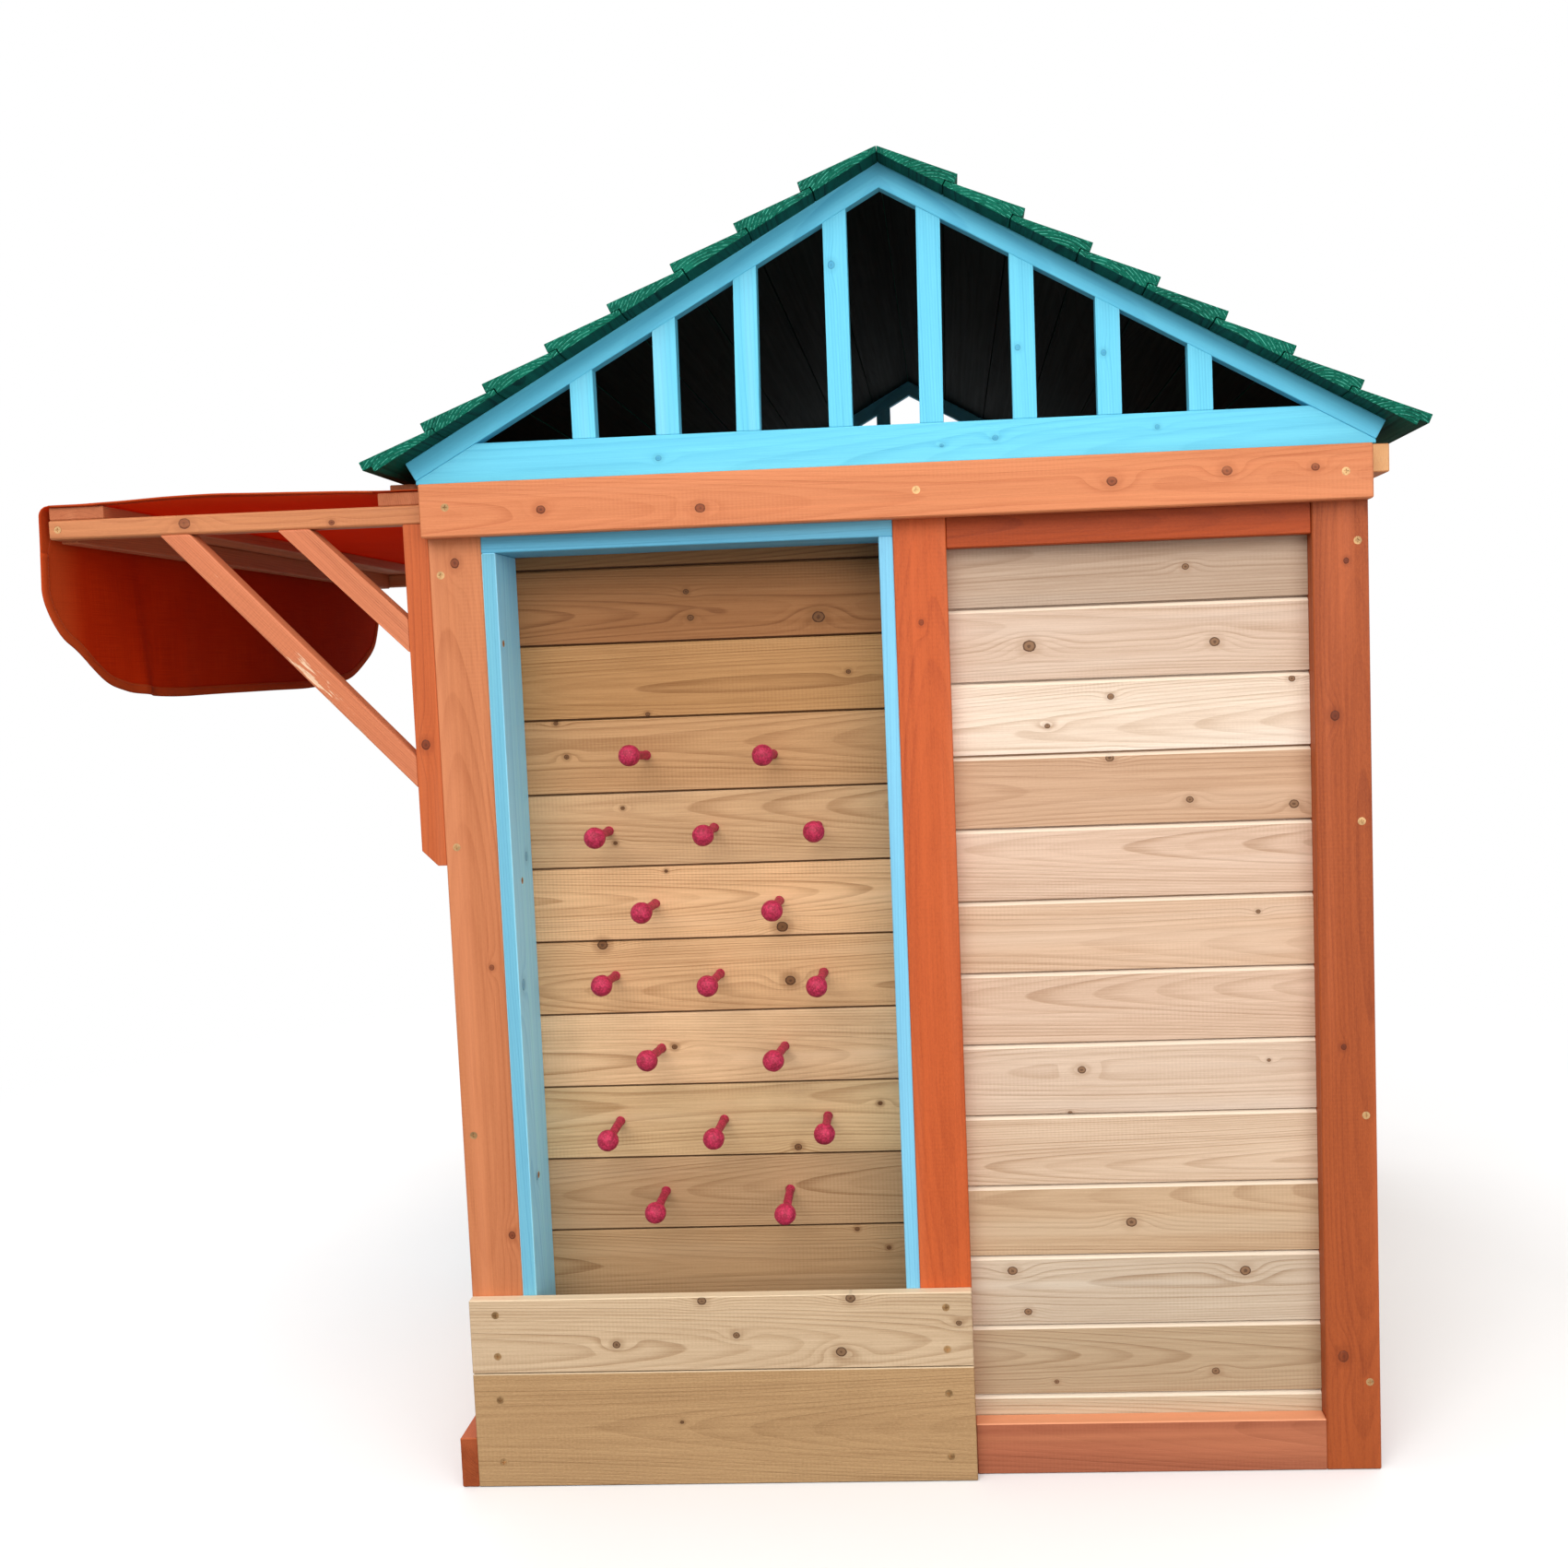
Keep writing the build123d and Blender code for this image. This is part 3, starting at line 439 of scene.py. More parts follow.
    smooth, dull = rough
    gloss = tree.mul_add(coarse, dull - smooth, smooth)
    gloss = tree.add(gloss, tree.mul(end, 0.12), clamp=True)
    normal = tree.bump(tree.height, bump)
    dress(tree.finish(tree.principled(tree.color, gloss, normal, specular)), pieces)


# ------------------------------------------------- knots, boards, turned grain
def knots_level(shift, *points):
    """Knots on level pieces, house millimetres (along X or Y, height, radius)."""
    return [(along / 1000 + shift, z / 1000, radius / 1000) for along, z, radius in points]


def knots_x(*points):
    return knots_level(SHIFT_X, *points)


def knots_y(*points):
    return knots_level(SHIFT_Y, *points)


def knots_up(*points):
    """Knots on upright pieces, house millimetres (x, z, radius); the grain runs up."""
    return [(z / 1000, x / 1000 + SHIFT_X, radius / 1000) for x, z, radius in points]


def courses(top, pitch, count):
    """Boards side by side: count boards below the edge at top, millimetres."""
    return dict(pitch=pitch / 1000, start=(top - count * pitch) / 1000)


def per_board(targets, base):
    """Per-board multipliers from wanted sRGB tones against a base sRGB tone."""
    ground = lin(base)
    return [tuple(min(1.5, lin(tone)[i] / ground[i]) for i in range(3)) for tone in targets]


DIAGONAL = math.sqrt(0.5)
BRACE_TURN = (0.8, 0.6)     # cosine and sine of the door brace's lean from upright
ROOF_TURN = (math.cos(ROOF_ANGLE), math.sin(ROOF_ANGLE))


def strut_grain(tree):
    """Grain runs down the struts, 45 degrees in the XZ plane."""
    x, y, z = tree.place
    along = tree.mul(tree.sub(x, z), DIAGONAL)
    across = tree.mul(tree.add(x, z), DIAGONAL)
    return along, across, y, tree.mul(tree.sub(tree.normal[0], tree.normal[2]), DIAGONAL)


def brace_grain(tree):
    """Grain follows the door brace in the YZ plane."""
    x, y, z = tree.place
    along = tree.turn_second(y, z, BRACE_TURN)
    across = tree.turn_first(y, z, BRACE_TURN)
    return along, across, x, tree.turn_second(tree.normal[1], tree.normal[2], BRACE_TURN)


def rake_grain(tree):
    """Grain follows the slope on both sides of the ridge line."""
    x, y, z = tree.place
    out = tree.abs(tree.sub(x, SHIFT_X))
    along = tree.turn_first(out, z, ROOF_TURN)
    across = tree.turn_second(out, z, ROOF_TURN)
    facing = tree.turn_first(tree.abs(tree.normal[0]), tree.normal[2], ROOF_TURN)
    return along, across, y, facing


def roof_grain(tree):
    """Grain along Y, across is the distance down the slope, depth is height off it."""
    x, y, z = tree.place
    out = tree.abs(tree.sub(x, SHIFT_X))
    rise = tree.sub(z, RIDGE_Z)
    across = tree.turn_first(out, rise, ROOF_TURN)
    depth = tree.turn_second(out, rise, ROOF_TURN)
    return y, across, depth, tree.normal[1]


# --------------------------------------------------------------- stained wood
ORANGE = dict(ring=0.0024, contrast=0.34, blotch=0.26, rough=(0.45, 0.66), streak=0.30,
              pale=(232, 150, 106, 0.30), knot=(92, 40, 20), halo=0.3, endgrain=0.8,
              bump=0.00035, speck=0.16, chatter=0.05)
DEEP = {**ORANGE, "pale": (226, 122, 74, 0.3), "speck": 0.40}

wood("stain_post_left", "post_near_left", "zxy", early=(202, 125, 81), late=(163, 85, 46),
     mid=0.6, fold=0.0, seed=1, centre=-0.300,
     knots=knots_up((-500, 1088, 5), (-478, 300, 4), (-484, 620, 3)), **ORANGE)
wood("stain_post_centre", "post_near_centre", "zxy", early=(196, 90, 41), late=(150, 55, 22),
     mid=0.6, fold=0.0, seed=2, centre=0.231, knots=knots_up((30, 1000, 3)), **DEEP)
wood("stain_post_right", "post_near_right", "zxy", early=(172, 83, 38), late=(125, 50, 21),
     mid=0.6, fold=0.0, seed=3, centre=0.700,
     knots=knots_up((490, 878, 5), (488, 136, 6), (505, 1050, 3), (494, 500, 3)), **DEEP)
wood("stain_post_far", "posts_far", "zxy", early=(200, 104, 57), late=(153, 67, 32),
     mid=0.6, fold=0.0, seed=4,
     knots=knots_up((-500, 700, 6), (30, 400, 5), (500, 900, 5)), **DEEP)
wood("stain_post_side", "posts_awning_side", "zyx", early=(200, 101, 53), late=(153, 65, 31),
     mid=0.4995, fold=SHIFT_X, seed=5, centre=-0.05, **DEEP)
wood("stain_header", "header_near", "xzy", early=(215, 133, 87), late=(179, 92, 50),
     mid=0.64, fold=0.0, seed=6, centre=1.146,
     knots=knots_x((-392, 1142, 4.5), (-212, 1136, 5), (246, 1146, 5), (372, 1152, 5),
                   (468, 1152, 4)), **ORANGE)
wood("stain_header_far", "header_far", "xzy", early=(214, 129, 87), late=(176, 88, 50),
     mid=0.64, fold=0.0, seed=7, centre=1.146,
     knots=knots_x((-300, 1142, 5), (180, 1140, 6)), **ORANGE)
# the rails' faces turned up get a painted highlight
wood("stain_rail_x", "near_rail_bottom far_wall_rails", "xzy",
     early=(175, 101, 71), late=(134, 68, 42), top_highlight=(244, 168, 124, 0.7),
     mid=0.619, fold=0.0, seed=8, centre=0.03, **ORANGE)
wood("stain_trim_x", "near_rail_top", "xzy", early=(172, 70, 20), late=(128, 44, 10),
     mid=0.6175, fold=0.0, seed=9, centre=1.11, **DEEP)
wood("stain_rail_y", "right_wall_rails left_wall_rails", "yzx",
     early=(185, 90, 47), late=(139, 58, 27),
     mid=0.519, fold=SHIFT_X, seed=10, centre=0.03, **DEEP)
wood("stain_sill", "sill_board_left", "yzx", early=(172, 82, 38), late=(130, 52, 22),
     mid=0.540, fold=SHIFT_X, seed=20, centre=0.03, **DEEP)
EAVE = {**ORANGE, "endgrain": 1.15, "endlines": (236, 190, 136, 0.75, 0.0030),
        "endtint": (222, 172, 120, 0.75)}
wood("stain_eave", "right_eave_rail", "yzx", early=(222, 148, 92), late=(180, 100, 54),
     mid=0.542, fold=SHIFT_X, seed=11, centre=1.16, **EAVE)
wood("stain_plate", "top_plate_left", "yzx", early=(206, 118, 70), late=(166, 82, 44),
     mid=0.4995, fold=SHIFT_X, seed=24, centre=1.147, **ORANGE)
wood("stain_stile", "wall_stiles door_stop", "zyx", early=(189, 91, 48), late=(141, 59, 28),
     mid=0.519, fold=SHIFT_X, seed=12, **DEEP)
wood("stain_ledge", "door_ledges", "yzx", early=(196, 97, 52), late=(147, 63, 30),
     mid=0.505, fold=SHIFT_X, seed=13, **DEEP)
wood("stain_shelf", "counter_shelf", "yxz", early=(210, 123, 77), late=(166, 85, 47),
     mid=0.569, centre=-0.281, seed=14, **ORANGE)

# the awning frame, its finish rubbed
FRAME = {**ORANGE, "worn": (232, 184, 140, 0.790), "blotch": 0.28}
wood("stain_arm", "awning_arms", "xzy", early=(204, 132, 86), late=(162, 92, 55),
     mid=0.494, fold=AWNING_MID_Y, seed=15, centre=1.145,
     knots=knots_x((-812, 1146, 6), (-640, 1140, 3)), **FRAME)
wood("stain_cleat", "awning_cleats", "zxy", early=(198, 97, 48), late=(152, 64, 29),
     mid=0.494, fold=AWNING_MID_Y, seed=16, centre=-0.344,
     knots=knots_up((-546, 882, 5)), **FRAME)
wood("stain_batten", "awning_battens awning_front_rail", "yxz",
     early=(208, 122, 80), late=(164, 84, 50), mid=1.163, seed=17, centre=-0.74, **FRAME)
STRUT = {**ORANGE, "worn": (240, 206, 172, 0.765), "blotch": 0.26}
wood("stain_strut", "awning_struts_long awning_struts_short", strut_grain,
     early=(208, 122, 82), late=(160, 80, 48), mid=0.494, fold=AWNING_MID_Y, seed=18, **STRUT)
wood("stain_brace", "door_brace", brace_grain, early=(196, 97, 52), late=(147, 63, 30),
     mid=-0.305, seed=19, **DEEP)

# --------------------------------------------------------------- bare boards
# peg wall: the tone of each board from the bottom up; the darker top boards are the header's
# painted shadow laid over their own tone
PEG_TONES = [
    (178, 140, 100), (178, 140, 101), (185, 147, 109), (210, 174, 131), (226, 184, 146),
    (218, 171, 126), (223, 175, 130), (201, 159, 118), (191, 144, 100), (181, 132, 84),
    (159, 105, 63), (150, 102, 62)]
PEG_KNOTS = knots_x(
    (-250, 1050, 3), (-246, 1019, 3.5), (-93, 1014, 6.5), (-415, 899, 2.5), (-303, 906, 2.5),
    (-404, 858, 2.8), (-339, 794, 2.2), (-350, 752, 2.2), (-372, 628, 5.5), (-152, 644, 6),
    (-145, 578, 5.5), (-290, 500, 3), (-42, 424, 2.5), (-144, 372, 4), (-76, 268, 2.5),
    (-38, 244, 2.5), (-290, 716, 2), (-60, 948, 2.5))
# the boards' edges turned down get painted shade
wood("peg_boards", "peg_wall_boards", "xzy", early=(212, 166, 122), late=(146, 98, 56),
     mid=-0.5406, seed=21, **courses(top=1081.3, pitch=89.77, count=11),
     tints=per_board(PEG_TONES, base=(206, 160, 118)), knots=PEG_KNOTS, ring=0.0023,
     contrast=0.50, blotch=0.32, rough=(0.6, 0.82), knot=(70, 38, 20), halo=0.45, bump=0.0005,
     grime=0.25, pale=(224, 182, 142, 0.4), speck=0.10, chatter=0.06, heart=0.45,
     under_edge_shade=(0.30, 0.24, 0.20))

# pale tongue and groove boards; the near bay has a tone for each board from the bottom up, the
# darker top boards carrying painted shade from the header
NEAR_TONES = [
    (205, 181, 152), (189, 160, 128), (209, 186, 162), (203, 169, 135), (219, 188, 160),
    (220, 191, 167), (221, 187, 161), (218, 181, 151), (222, 188, 163), (207, 166, 134),
    (240, 216, 203), (215, 185, 162), (190, 162, 139), (196, 164, 136)]
NEAR_KNOTS = knots_x(
    (331, 1052, 3.5), (152, 969, 6.5), (362, 966, 5), (243, 908, 3.4), (448, 921, 3.4),
    (170, 877, 2.8), (240, 838, 4.2), (330, 787, 3.6), (448, 778, 4.8), (405, 655, 2.4),
    (198, 475, 4.2), (414, 481, 2), (183, 424, 2.4), (251, 292, 5.5), (110, 236, 5),
    (382, 231, 5.5), (127, 186, 4), (158, 100, 2.5), (345, 110, 4))
FAR_KNOTS = knots_x(
    (-300, 980, 5), (-120, 800, 4), (-400, 640, 6), (-200, 480, 4), (-60, 300, 5),
    (-350, 130, 4), (150, 1050, 4), (400, 890, 5), (260, 700, 4), (120, 560, 4),
    (380, 390, 6), (220, 210, 4))
RIGHT_KNOTS = knots_y(
    (160, 1040, 5), (520, 1060, 4), (900, 975, 6), (300, 890, 4), (1050, 880, 4),
    (640, 800, 5), (210, 640, 4), (820, 720, 4), (1120, 560, 5), (450, 470, 6),
    (760, 390, 4), (180, 300, 5), (980, 310, 4), (560, 210, 5), (340, 120, 4),
    (1080, 130, 4))
LEFT_KNOTS = knots_y(
    (150, 480, 4), (330, 380, 5), (260, 210, 4), (420, 130, 4), (1110, 900, 4),
    (1100, 520, 5), (1160, 260, 4))
# the boards' faces turned up get a painted highlight and their edges turned down painted shade
BOARDS = dict(early=(230, 198, 168), late=(170, 128, 92), ring=0.0023, contrast=0.42,
              blotch=0.22, rough=(0.62, 0.82), knot=(84, 54, 36), halo=0.22, bump=0.0004,
              pale=(240, 216, 192, 0.4), speck=0.10, chatter=0.04, heart=0.30,
              top_highlight=(252, 232, 208, 0.75), under_edge_shade=(0.42, 0.36, 0.30),
              **courses(top=1014.8, pitch=84.41, count=12))
wood("tg_boards_near", "near_wall_boards", "xzy", mid=-0.6, seed=31,
     tints=per_board(NEAR_TONES, base=(226, 192, 162)), knots=NEAR_KNOTS, **BOARDS)
wood("tg_boards_far", "far_wall_boards", "xzy", mid=0.6, seed=37, knots=FAR_KNOTS, **BOARDS)
wood("tg_boards_right", "right_wall_boards", "yzx", mid=0.7, seed=41, knots=RIGHT_KNOTS,
     **BOARDS)
wood("tg_boards_left", "counter_boards side_panel_boards", "yzx", mid=-0.3, seed=43,
     knots=LEFT_KNOTS, **BOARDS)

# the kickboards' faces turned up get a painted highlight and their edges turned down painted shade
KICK = dict(ring=0.0024, contrast=0.50, blotch=0.28, rough=(0.62, 0.82), knot=(76, 46, 28),
            halo=0.28, bump=0.0005, grime=0.12, speck=0.14, chatter=0.04, heart=0.4,
            top_highlight=(238, 216, 182, 0.6), under_edge_shade=(0.45, 0.40, 0.34))
KICK_LOW = {**KICK, "contrast": 0.24, "speck": 0.36, "blotch": 0.24}
wood("kick_upper", "kickboard_upper", "xzy", early=(214, 186, 152), late=(160, 124, 88),
     mid=-0.637, seed=51, centre=0.18,
     knots=knots_x((-254, 222, 4.6), (-80, 222, 5), (-357, 171, 4), (-215, 180, 3.5),
                   (-93, 158, 5.5), (45, 190, 3)), **KICK)
wood("kick_lower", "kickboard_lower", "xzy", early=(190, 152, 108), late=(138, 100, 62),
     mid=-0.637, seed=52, centre=0.07, knots=knots_x((-284, 76, 2)), **KICK_LOW)
wood("sawn_z", "panel_battens right_wall_stud", "zxy", early=(206, 164, 116),
     late=(158, 114, 70), mid=0.56, fold=0.0, seed=53, ring=0.0027, contrast=0.45, blotch=0.25,
     rough=(0.75, 0.9), bump=0.0007, speck=0.2, chatter=0.12)

# -------------------------------------------------- blue paint over softwood
# knots of the upright blue pieces are frame metres (z, y, radius)
BLUE = dict(ring=0.0032, contrast=0.34, blotch=0.20, rough=(0.38, 0.55), paint=0.55,
            knot=(44, 120, 160), halo=0.22, bump=0.0003, endgrain=0.92,
            pale=(160, 228, 248, 0.35), streak=0.2, speck=0.05)
GABLE = dict(early=(110, 210, 238), late=(66, 168, 208), mid=0.621, fold=0.0, **BLUE)
# painted shade: this side's faces looking to -Y are darker than its inner face
wood("blue_side_left", "peg_box_side_left", "zyx", early=(158, 228, 254),
     late=(112, 188, 228), front=(0.52, 0.64, 0.66), mid=-0.261, centre=-0.59, seed=61,
     knots=[(0.742, -0.572, 0.005), (0.595, -0.612, 0.006), (0.36, -0.600, 0.004)], **BLUE)
wood("blue_side_right", "peg_box_side_right", "zyx", early=(132, 202, 232),
     late=(88, 160, 200), mid=0.193, centre=-0.59, seed=62, **BLUE)
wood("blue_top", "peg_box_top", "xyz", early=(100, 182, 214), late=(64, 144, 182),
     mid=1.108, centre=-0.59, seed=63, **BLUE)
wood("blue_floor", "catch_tray_floor", "xyz", early=(96, 178, 212), late=(60, 142, 180),
     mid=0.086, centre=-0.58, seed=68, **BLUE)
wood("blue_chord", "gable_near_chord gable_far_chord", "xzy", seed=64, centre=1.2,
     knots=knots_x((120, 1202, 3), (-260, 1196, 3), (60, 1196, 2), (300, 1206, 2.5)), **GABLE)
wood("blue_slat", "gable_near_slats gable_far_slats", "zxy", seed=65,
     knots=knots_up((-56, 1400, 4), (148, 1300, 3), (243, 1290, 3)), **GABLE)
wood("blue_rake", "gable_near_rakes gable_far_rakes", rake_grain, early=(104, 208, 240),
     late=(62, 165, 208), mid=0.621, fold=0.0, centre=1.307, seed=66, **BLUE)
wood("blue_door", "door_boards", "zyx", early=(104, 204, 234), late=(62, 162, 202),
     mid=-0.322, seed=67, pitch=0.085, start=-0.085,
     knots=[(0.32, -0.03, 0.004), (0.55, 0.10, 0.005), (0.2, 0.22, 0.004),
            (0.66, 0.29, 0.004)], **BLUE)

# ----------------------------------------------------------- green roof boards
# knots are metres (y, distance down the slope, radius)
ROOF_EDGE = (ROOF_REACH - ROOF_DEPTH * math.sin(ROOF_ANGLE)) / math.cos(ROOF_ANGLE)
# the roof boards' undersides get painted shade, nearly black inside the walls
GREEN = dict(early=(6, 112, 92), late=(2, 58, 50), mid=0.008, ring=0.0034, contrast=0.85,
             blotch=0.34, rough=(0.55, 0.8), paint=0.1, knot=(6, 40, 36), halo=0.3,
             bump=0.0006, endgrain=0.80, streak=0.15, pale=(28, 140, 118, 0.4), speck=0.22,
             under=(0.50, 0.035), endlines=(104, 220, 192, 0.62, 0.0034), specular=0.12,
             **courses(top=ROOF_EDGE, pitch=82.26, count=8))
wood("green_left", "roof_boards_left", roof_grain, seed=71,
     knots=[(0.2, 0.35, 0.007), (-0.3, 0.20, 0.006), (0.5, 0.12, 0.006),
            (-0.1, 0.52, 0.007), (0.35, 0.60, 0.006), (-0.5, 0.45, 0.006)], **GREEN)
wood("green_right", "roof_boards_right", roof_grain, seed=72,
     knots=[(-0.25, 0.31, 0.007), (0.1, 0.17, 0.006), (0.45, 0.43, 0.007),
            (-0.45, 0.58, 0.006), (0.25, 0.61, 0.006)], **GREEN)


# ------------------------------------------------------------------- metals
def metal(name, base, tint, rough):
    """Plated metal: patches of a second tone and fine dark grain."""
    tree = material_tree(name)
    place = tree.coords["Object"]
    fine = tree.noise(place, scale=300.0, detail=3.0, rough=0.6)
    broad = tree.noise(place, scale=75.0, detail=2.0)
    color = tree.mix(tree.step(broad, 0.35, 0.7), lin(base), lin(tint))
    dark = tree.mul(tree.step(fine, 0.55, 0.75), 0.5)
    color = tree.mix(dark, color, lin([v * 0.5 for v in base]))
    gloss = tree.mul_add(fine, 0.25, rough)
    normal = tree.bump(fine, distance=0.00012)
    return tree.finish(tree.principled(color, gloss, normal, specular=0.5, metallic=1.0))


dress(metal("zinc_yellow", base=(226, 184, 132), tint=(176, 140, 98), rough=0.42),
      "wood_screws")
dress(metal("zinc_plate", base=(190, 192, 196), tint=(150, 152, 156), rough=0.3),
      "hinge_post_leaves hinge_door_leaves hinge_pins hinge_screws_post hinge_screws_door")


# ------------------------------------------------------- crimson paint, pegs
def crimson_material():
    """Thick uneven paint with paler spots that are painted highlights."""
    tree = material_tree("crimson_rough")
    place = tree.coords["Object"]
    fine = tree.noise(place, scale=420.0, detail=4.0, rough=0.65)
    broad = tree.noise(place, scale=130.0, detail=2.0, rough=0.5)
    light = tree.step(tree.mul_add(fine, 0.7, tree.mul(broad, 0.3)), 0.36, 0.66)
    color = tree.mix(light, lin((138, 18, 46)), lin((206, 44, 86)))
    # painted highlights: small pale spots
    spots = tree.mul(tree.step(fine, 0.64, 0.74), 0.5)
    color = tree.mix(spots, color, lin((232, 96, 128)))
    gloss = tree.mul_add(fine, 0.25, 0.45)
    normal = tree.bump(tree.add(fine, tree.mul(broad, 0.8)), distance=0.0007)
    return tree.finish(tree.principled(color, gloss, normal, specular=0.4))


def mesh_object(name, mesh_name, verts, faces, uvs=None):
    """Link a new object; uvs holds one pair per vertex for the UV map "cloth"."""
    mesh = bpy.data.meshes.new(mesh_name)
    mesh.from_pydata(verts, [], faces)
    if uvs:
        layer = mesh.uv_layers.new(name="cloth")
        for loop in mesh.loops:
            layer.data[loop.index].uv = uvs[loop.vertex_index]
    mesh.update()
    thing = bpy.data.objects.new(name, mesh)
    scene.collection.objects.link(thing)
    return thing


def shade_smooth(thing):
    for polygon in thing.data.polygons:
        polygon.use_smooth = True


CRIMSON = crimson_material()
dress(CRIMSON, "door_knob wall_pegs")

# house millimetres: x and z of each peg's foot, x and z of its ball
PEGS = (
    (-307, 857, -311, 861), (-154, 853, -157, 856),
    (-357, 767, -356, 767), (-229, 767, -230, 766), (-104, 765, -102, 766),
    (-305, 677, -306, 678), (-154, 676, -154, 676),
    (-358, 590, -357, 594), (-230, 589, -233, 590), (-104, 587, -106, 586),
    (-306, 499, -308, 504), (-155, 498, -160, 500),
    (-361, 410, -359, 410), (-233, 409, -234, 409), (-106, 410, -104, 412),
    (-309, 321, -307, 322), (-156, 320, -154, 317),
)
PEG_FOOT_Y, PEG_BALL_Y = 80.4, 4.0
PEG_RING = 44       # points round a peg
# metres
BALL_RADIUS = 0.0125
BALL_NECK = 0.0072  # radius where the ball meets the shank
# (distance from the foot, radius): sunk end and the small collar at the board
PEG_COLLAR = [(-0.006, 0.0050), (0.0, 0.0050), (0.0006, 0.00575), (0.0016, 0.0058),
              (0.0024, 0.0052)]


def peg_profile(length, seed):
    """(distance from the foot, radius) stations from the sunk end to the ball's pole."""
    stations = list(PEG_COLLAR)
    neck = length - BALL_RADIUS
    shank_steps, ball_steps = 14, 26
    for i in range(1, shank_steps + 1):
        part = i / shank_steps
        stations.append((0.0024 + (neck - 0.0058) * part,
                         0.00505 + 0.00015 * math.sin(part * 5.1 + seed)))
    stations.append((neck - 0.0014, 0.0056))
    stations.append((neck + 0.0002, 0.0066))
    for i in range(ball_steps + 1):
        angle = -math.pi / 2 + (i / ball_steps) * math.pi
        angle = max(angle, -math.acos(BALL_NECK / BALL_RADIUS))
        stations.append((length + BALL_RADIUS * math.sin(angle), BALL_RADIUS * math.cos(angle)))
    # the angles held at the neck repeat one station
    profile = [stations[0]]
    for reach, radius in stations[1:]:
        if abs(reach - profile[-1][0]) + abs(radius - profile[-1][1]) > 1e-5:
            profile.append((reach, radius))
    return profile


def turned_peg(verts, faces, foot, ball, seed):
    """A ball on a turned shank, thick with brushed paint; the shank sinks into its board."""
    axis = (ball - foot).normalized()
    side = axis.cross(Vector((0, 0, 1))).normalized()
    up = side.cross(axis).normalized()
    length = (ball - foot).length
    profile = peg_profile(length, seed)
    base = len(verts)
    for reach, radius in profile[:-1]:
        for k in range(PEG_RING):
            angle = 2 * math.pi * k / PEG_RING
            outward = side * math.cos(angle) + up * math.sin(angle)
            point = foot + axis * reach + outward * radius
            spot = point * 170 + Vector((seed * 3.1, 0, 0))
            bump = (noise.noise(spot) * 0.00034 + noise.noise(spot * 2.7) * 0.00020
                    + noise.noise(spot * 6.0) * 0.00008)
            if reach < 0.0:
                bump = 0.0
            if reach >= length - 0.010:
                outward = (point - ball).normalized()
            verts.append(point + outward * bump)
    tip = len(verts)
    verts.append(foot + axis * (length + BALL_RADIUS))
    cap = len(verts)
    verts.append(foot + axis * profile[0][0])
    rings = len(profile) - 1
    for i in range(rings - 1):
        for k in range(PEG_RING):
            first = base + i * PEG_RING + k
            second = base + i * PEG_RING + (k + 1) % PEG_RING
            faces.append((first, second, second + PEG_RING, first + PEG_RING))
    last = base + (rings - 1) * PEG_RING
    for k in range(PEG_RING):
        following = (k + 1) % PEG_RING
        faces.append((last + k, last + following, tip))
        faces.append((base + following, base + k, cap))


def build_pegs():
    verts, faces = [], []
    for seed, (foot_x, foot_z, ball_x, ball_z) in enumerate(PEGS, start=1):
        turned_peg(verts, faces, house(foot_x, PEG_FOOT_Y, foot_z),
                   house(ball_x, PEG_BALL_Y, ball_z), seed)
    pegs = mesh_object("pegs_turned", "pegs", verts, faces)
    work = bmesh.new()
    work.from_mesh(pegs.data)
    bmesh.ops.recalc_face_normals(work, faces=work.faces)
    work.to_mesh(pegs.data)
    work.free()
    shade_smooth(pegs)
    pegs.data.materials.append(CRIMSON)
    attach(pegs, "house")
    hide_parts("wall_pegs")


build_pegs()

# ------------------------------------------------------- edges of CAD pieces
# eased edge width in millimetres: pieces
EASED = {
    2.2: "awning_struts_long awning_struts_short",
    1.6: "awning_cleats",
    1.3: "gable_near_rakes gable_near_chord",
    1.0: "door_brace",
    0.9: "gable_near_slats gable_far_rakes gable_far_chord gable_far_slats",
    0.8: "awning_arms",
    0.7: "roof_boards_left roof_boards_right",
    0.6: "door_boards",
    0.5: "near_wall_boards far_wall_boards right_wall_boards counter_boards side_panel_boards",
    0.4: "peg_wall_boards",
}
for width, pieces in EASED.items():
    for piece in pieces.split():
        weld = nodes[piece].modifiers.new("weld", "WELD")
        weld.merge_threshold = 0.00001
        ease = nodes[piece].modifiers.new("ease", "BEVEL")
        ease.width = width / 1000
        ease.segments = 2
        ease.limit_method = "ANGLE"
        ease.angle_limit = math.radians(28)
        ease.use_clamp_overlap = True


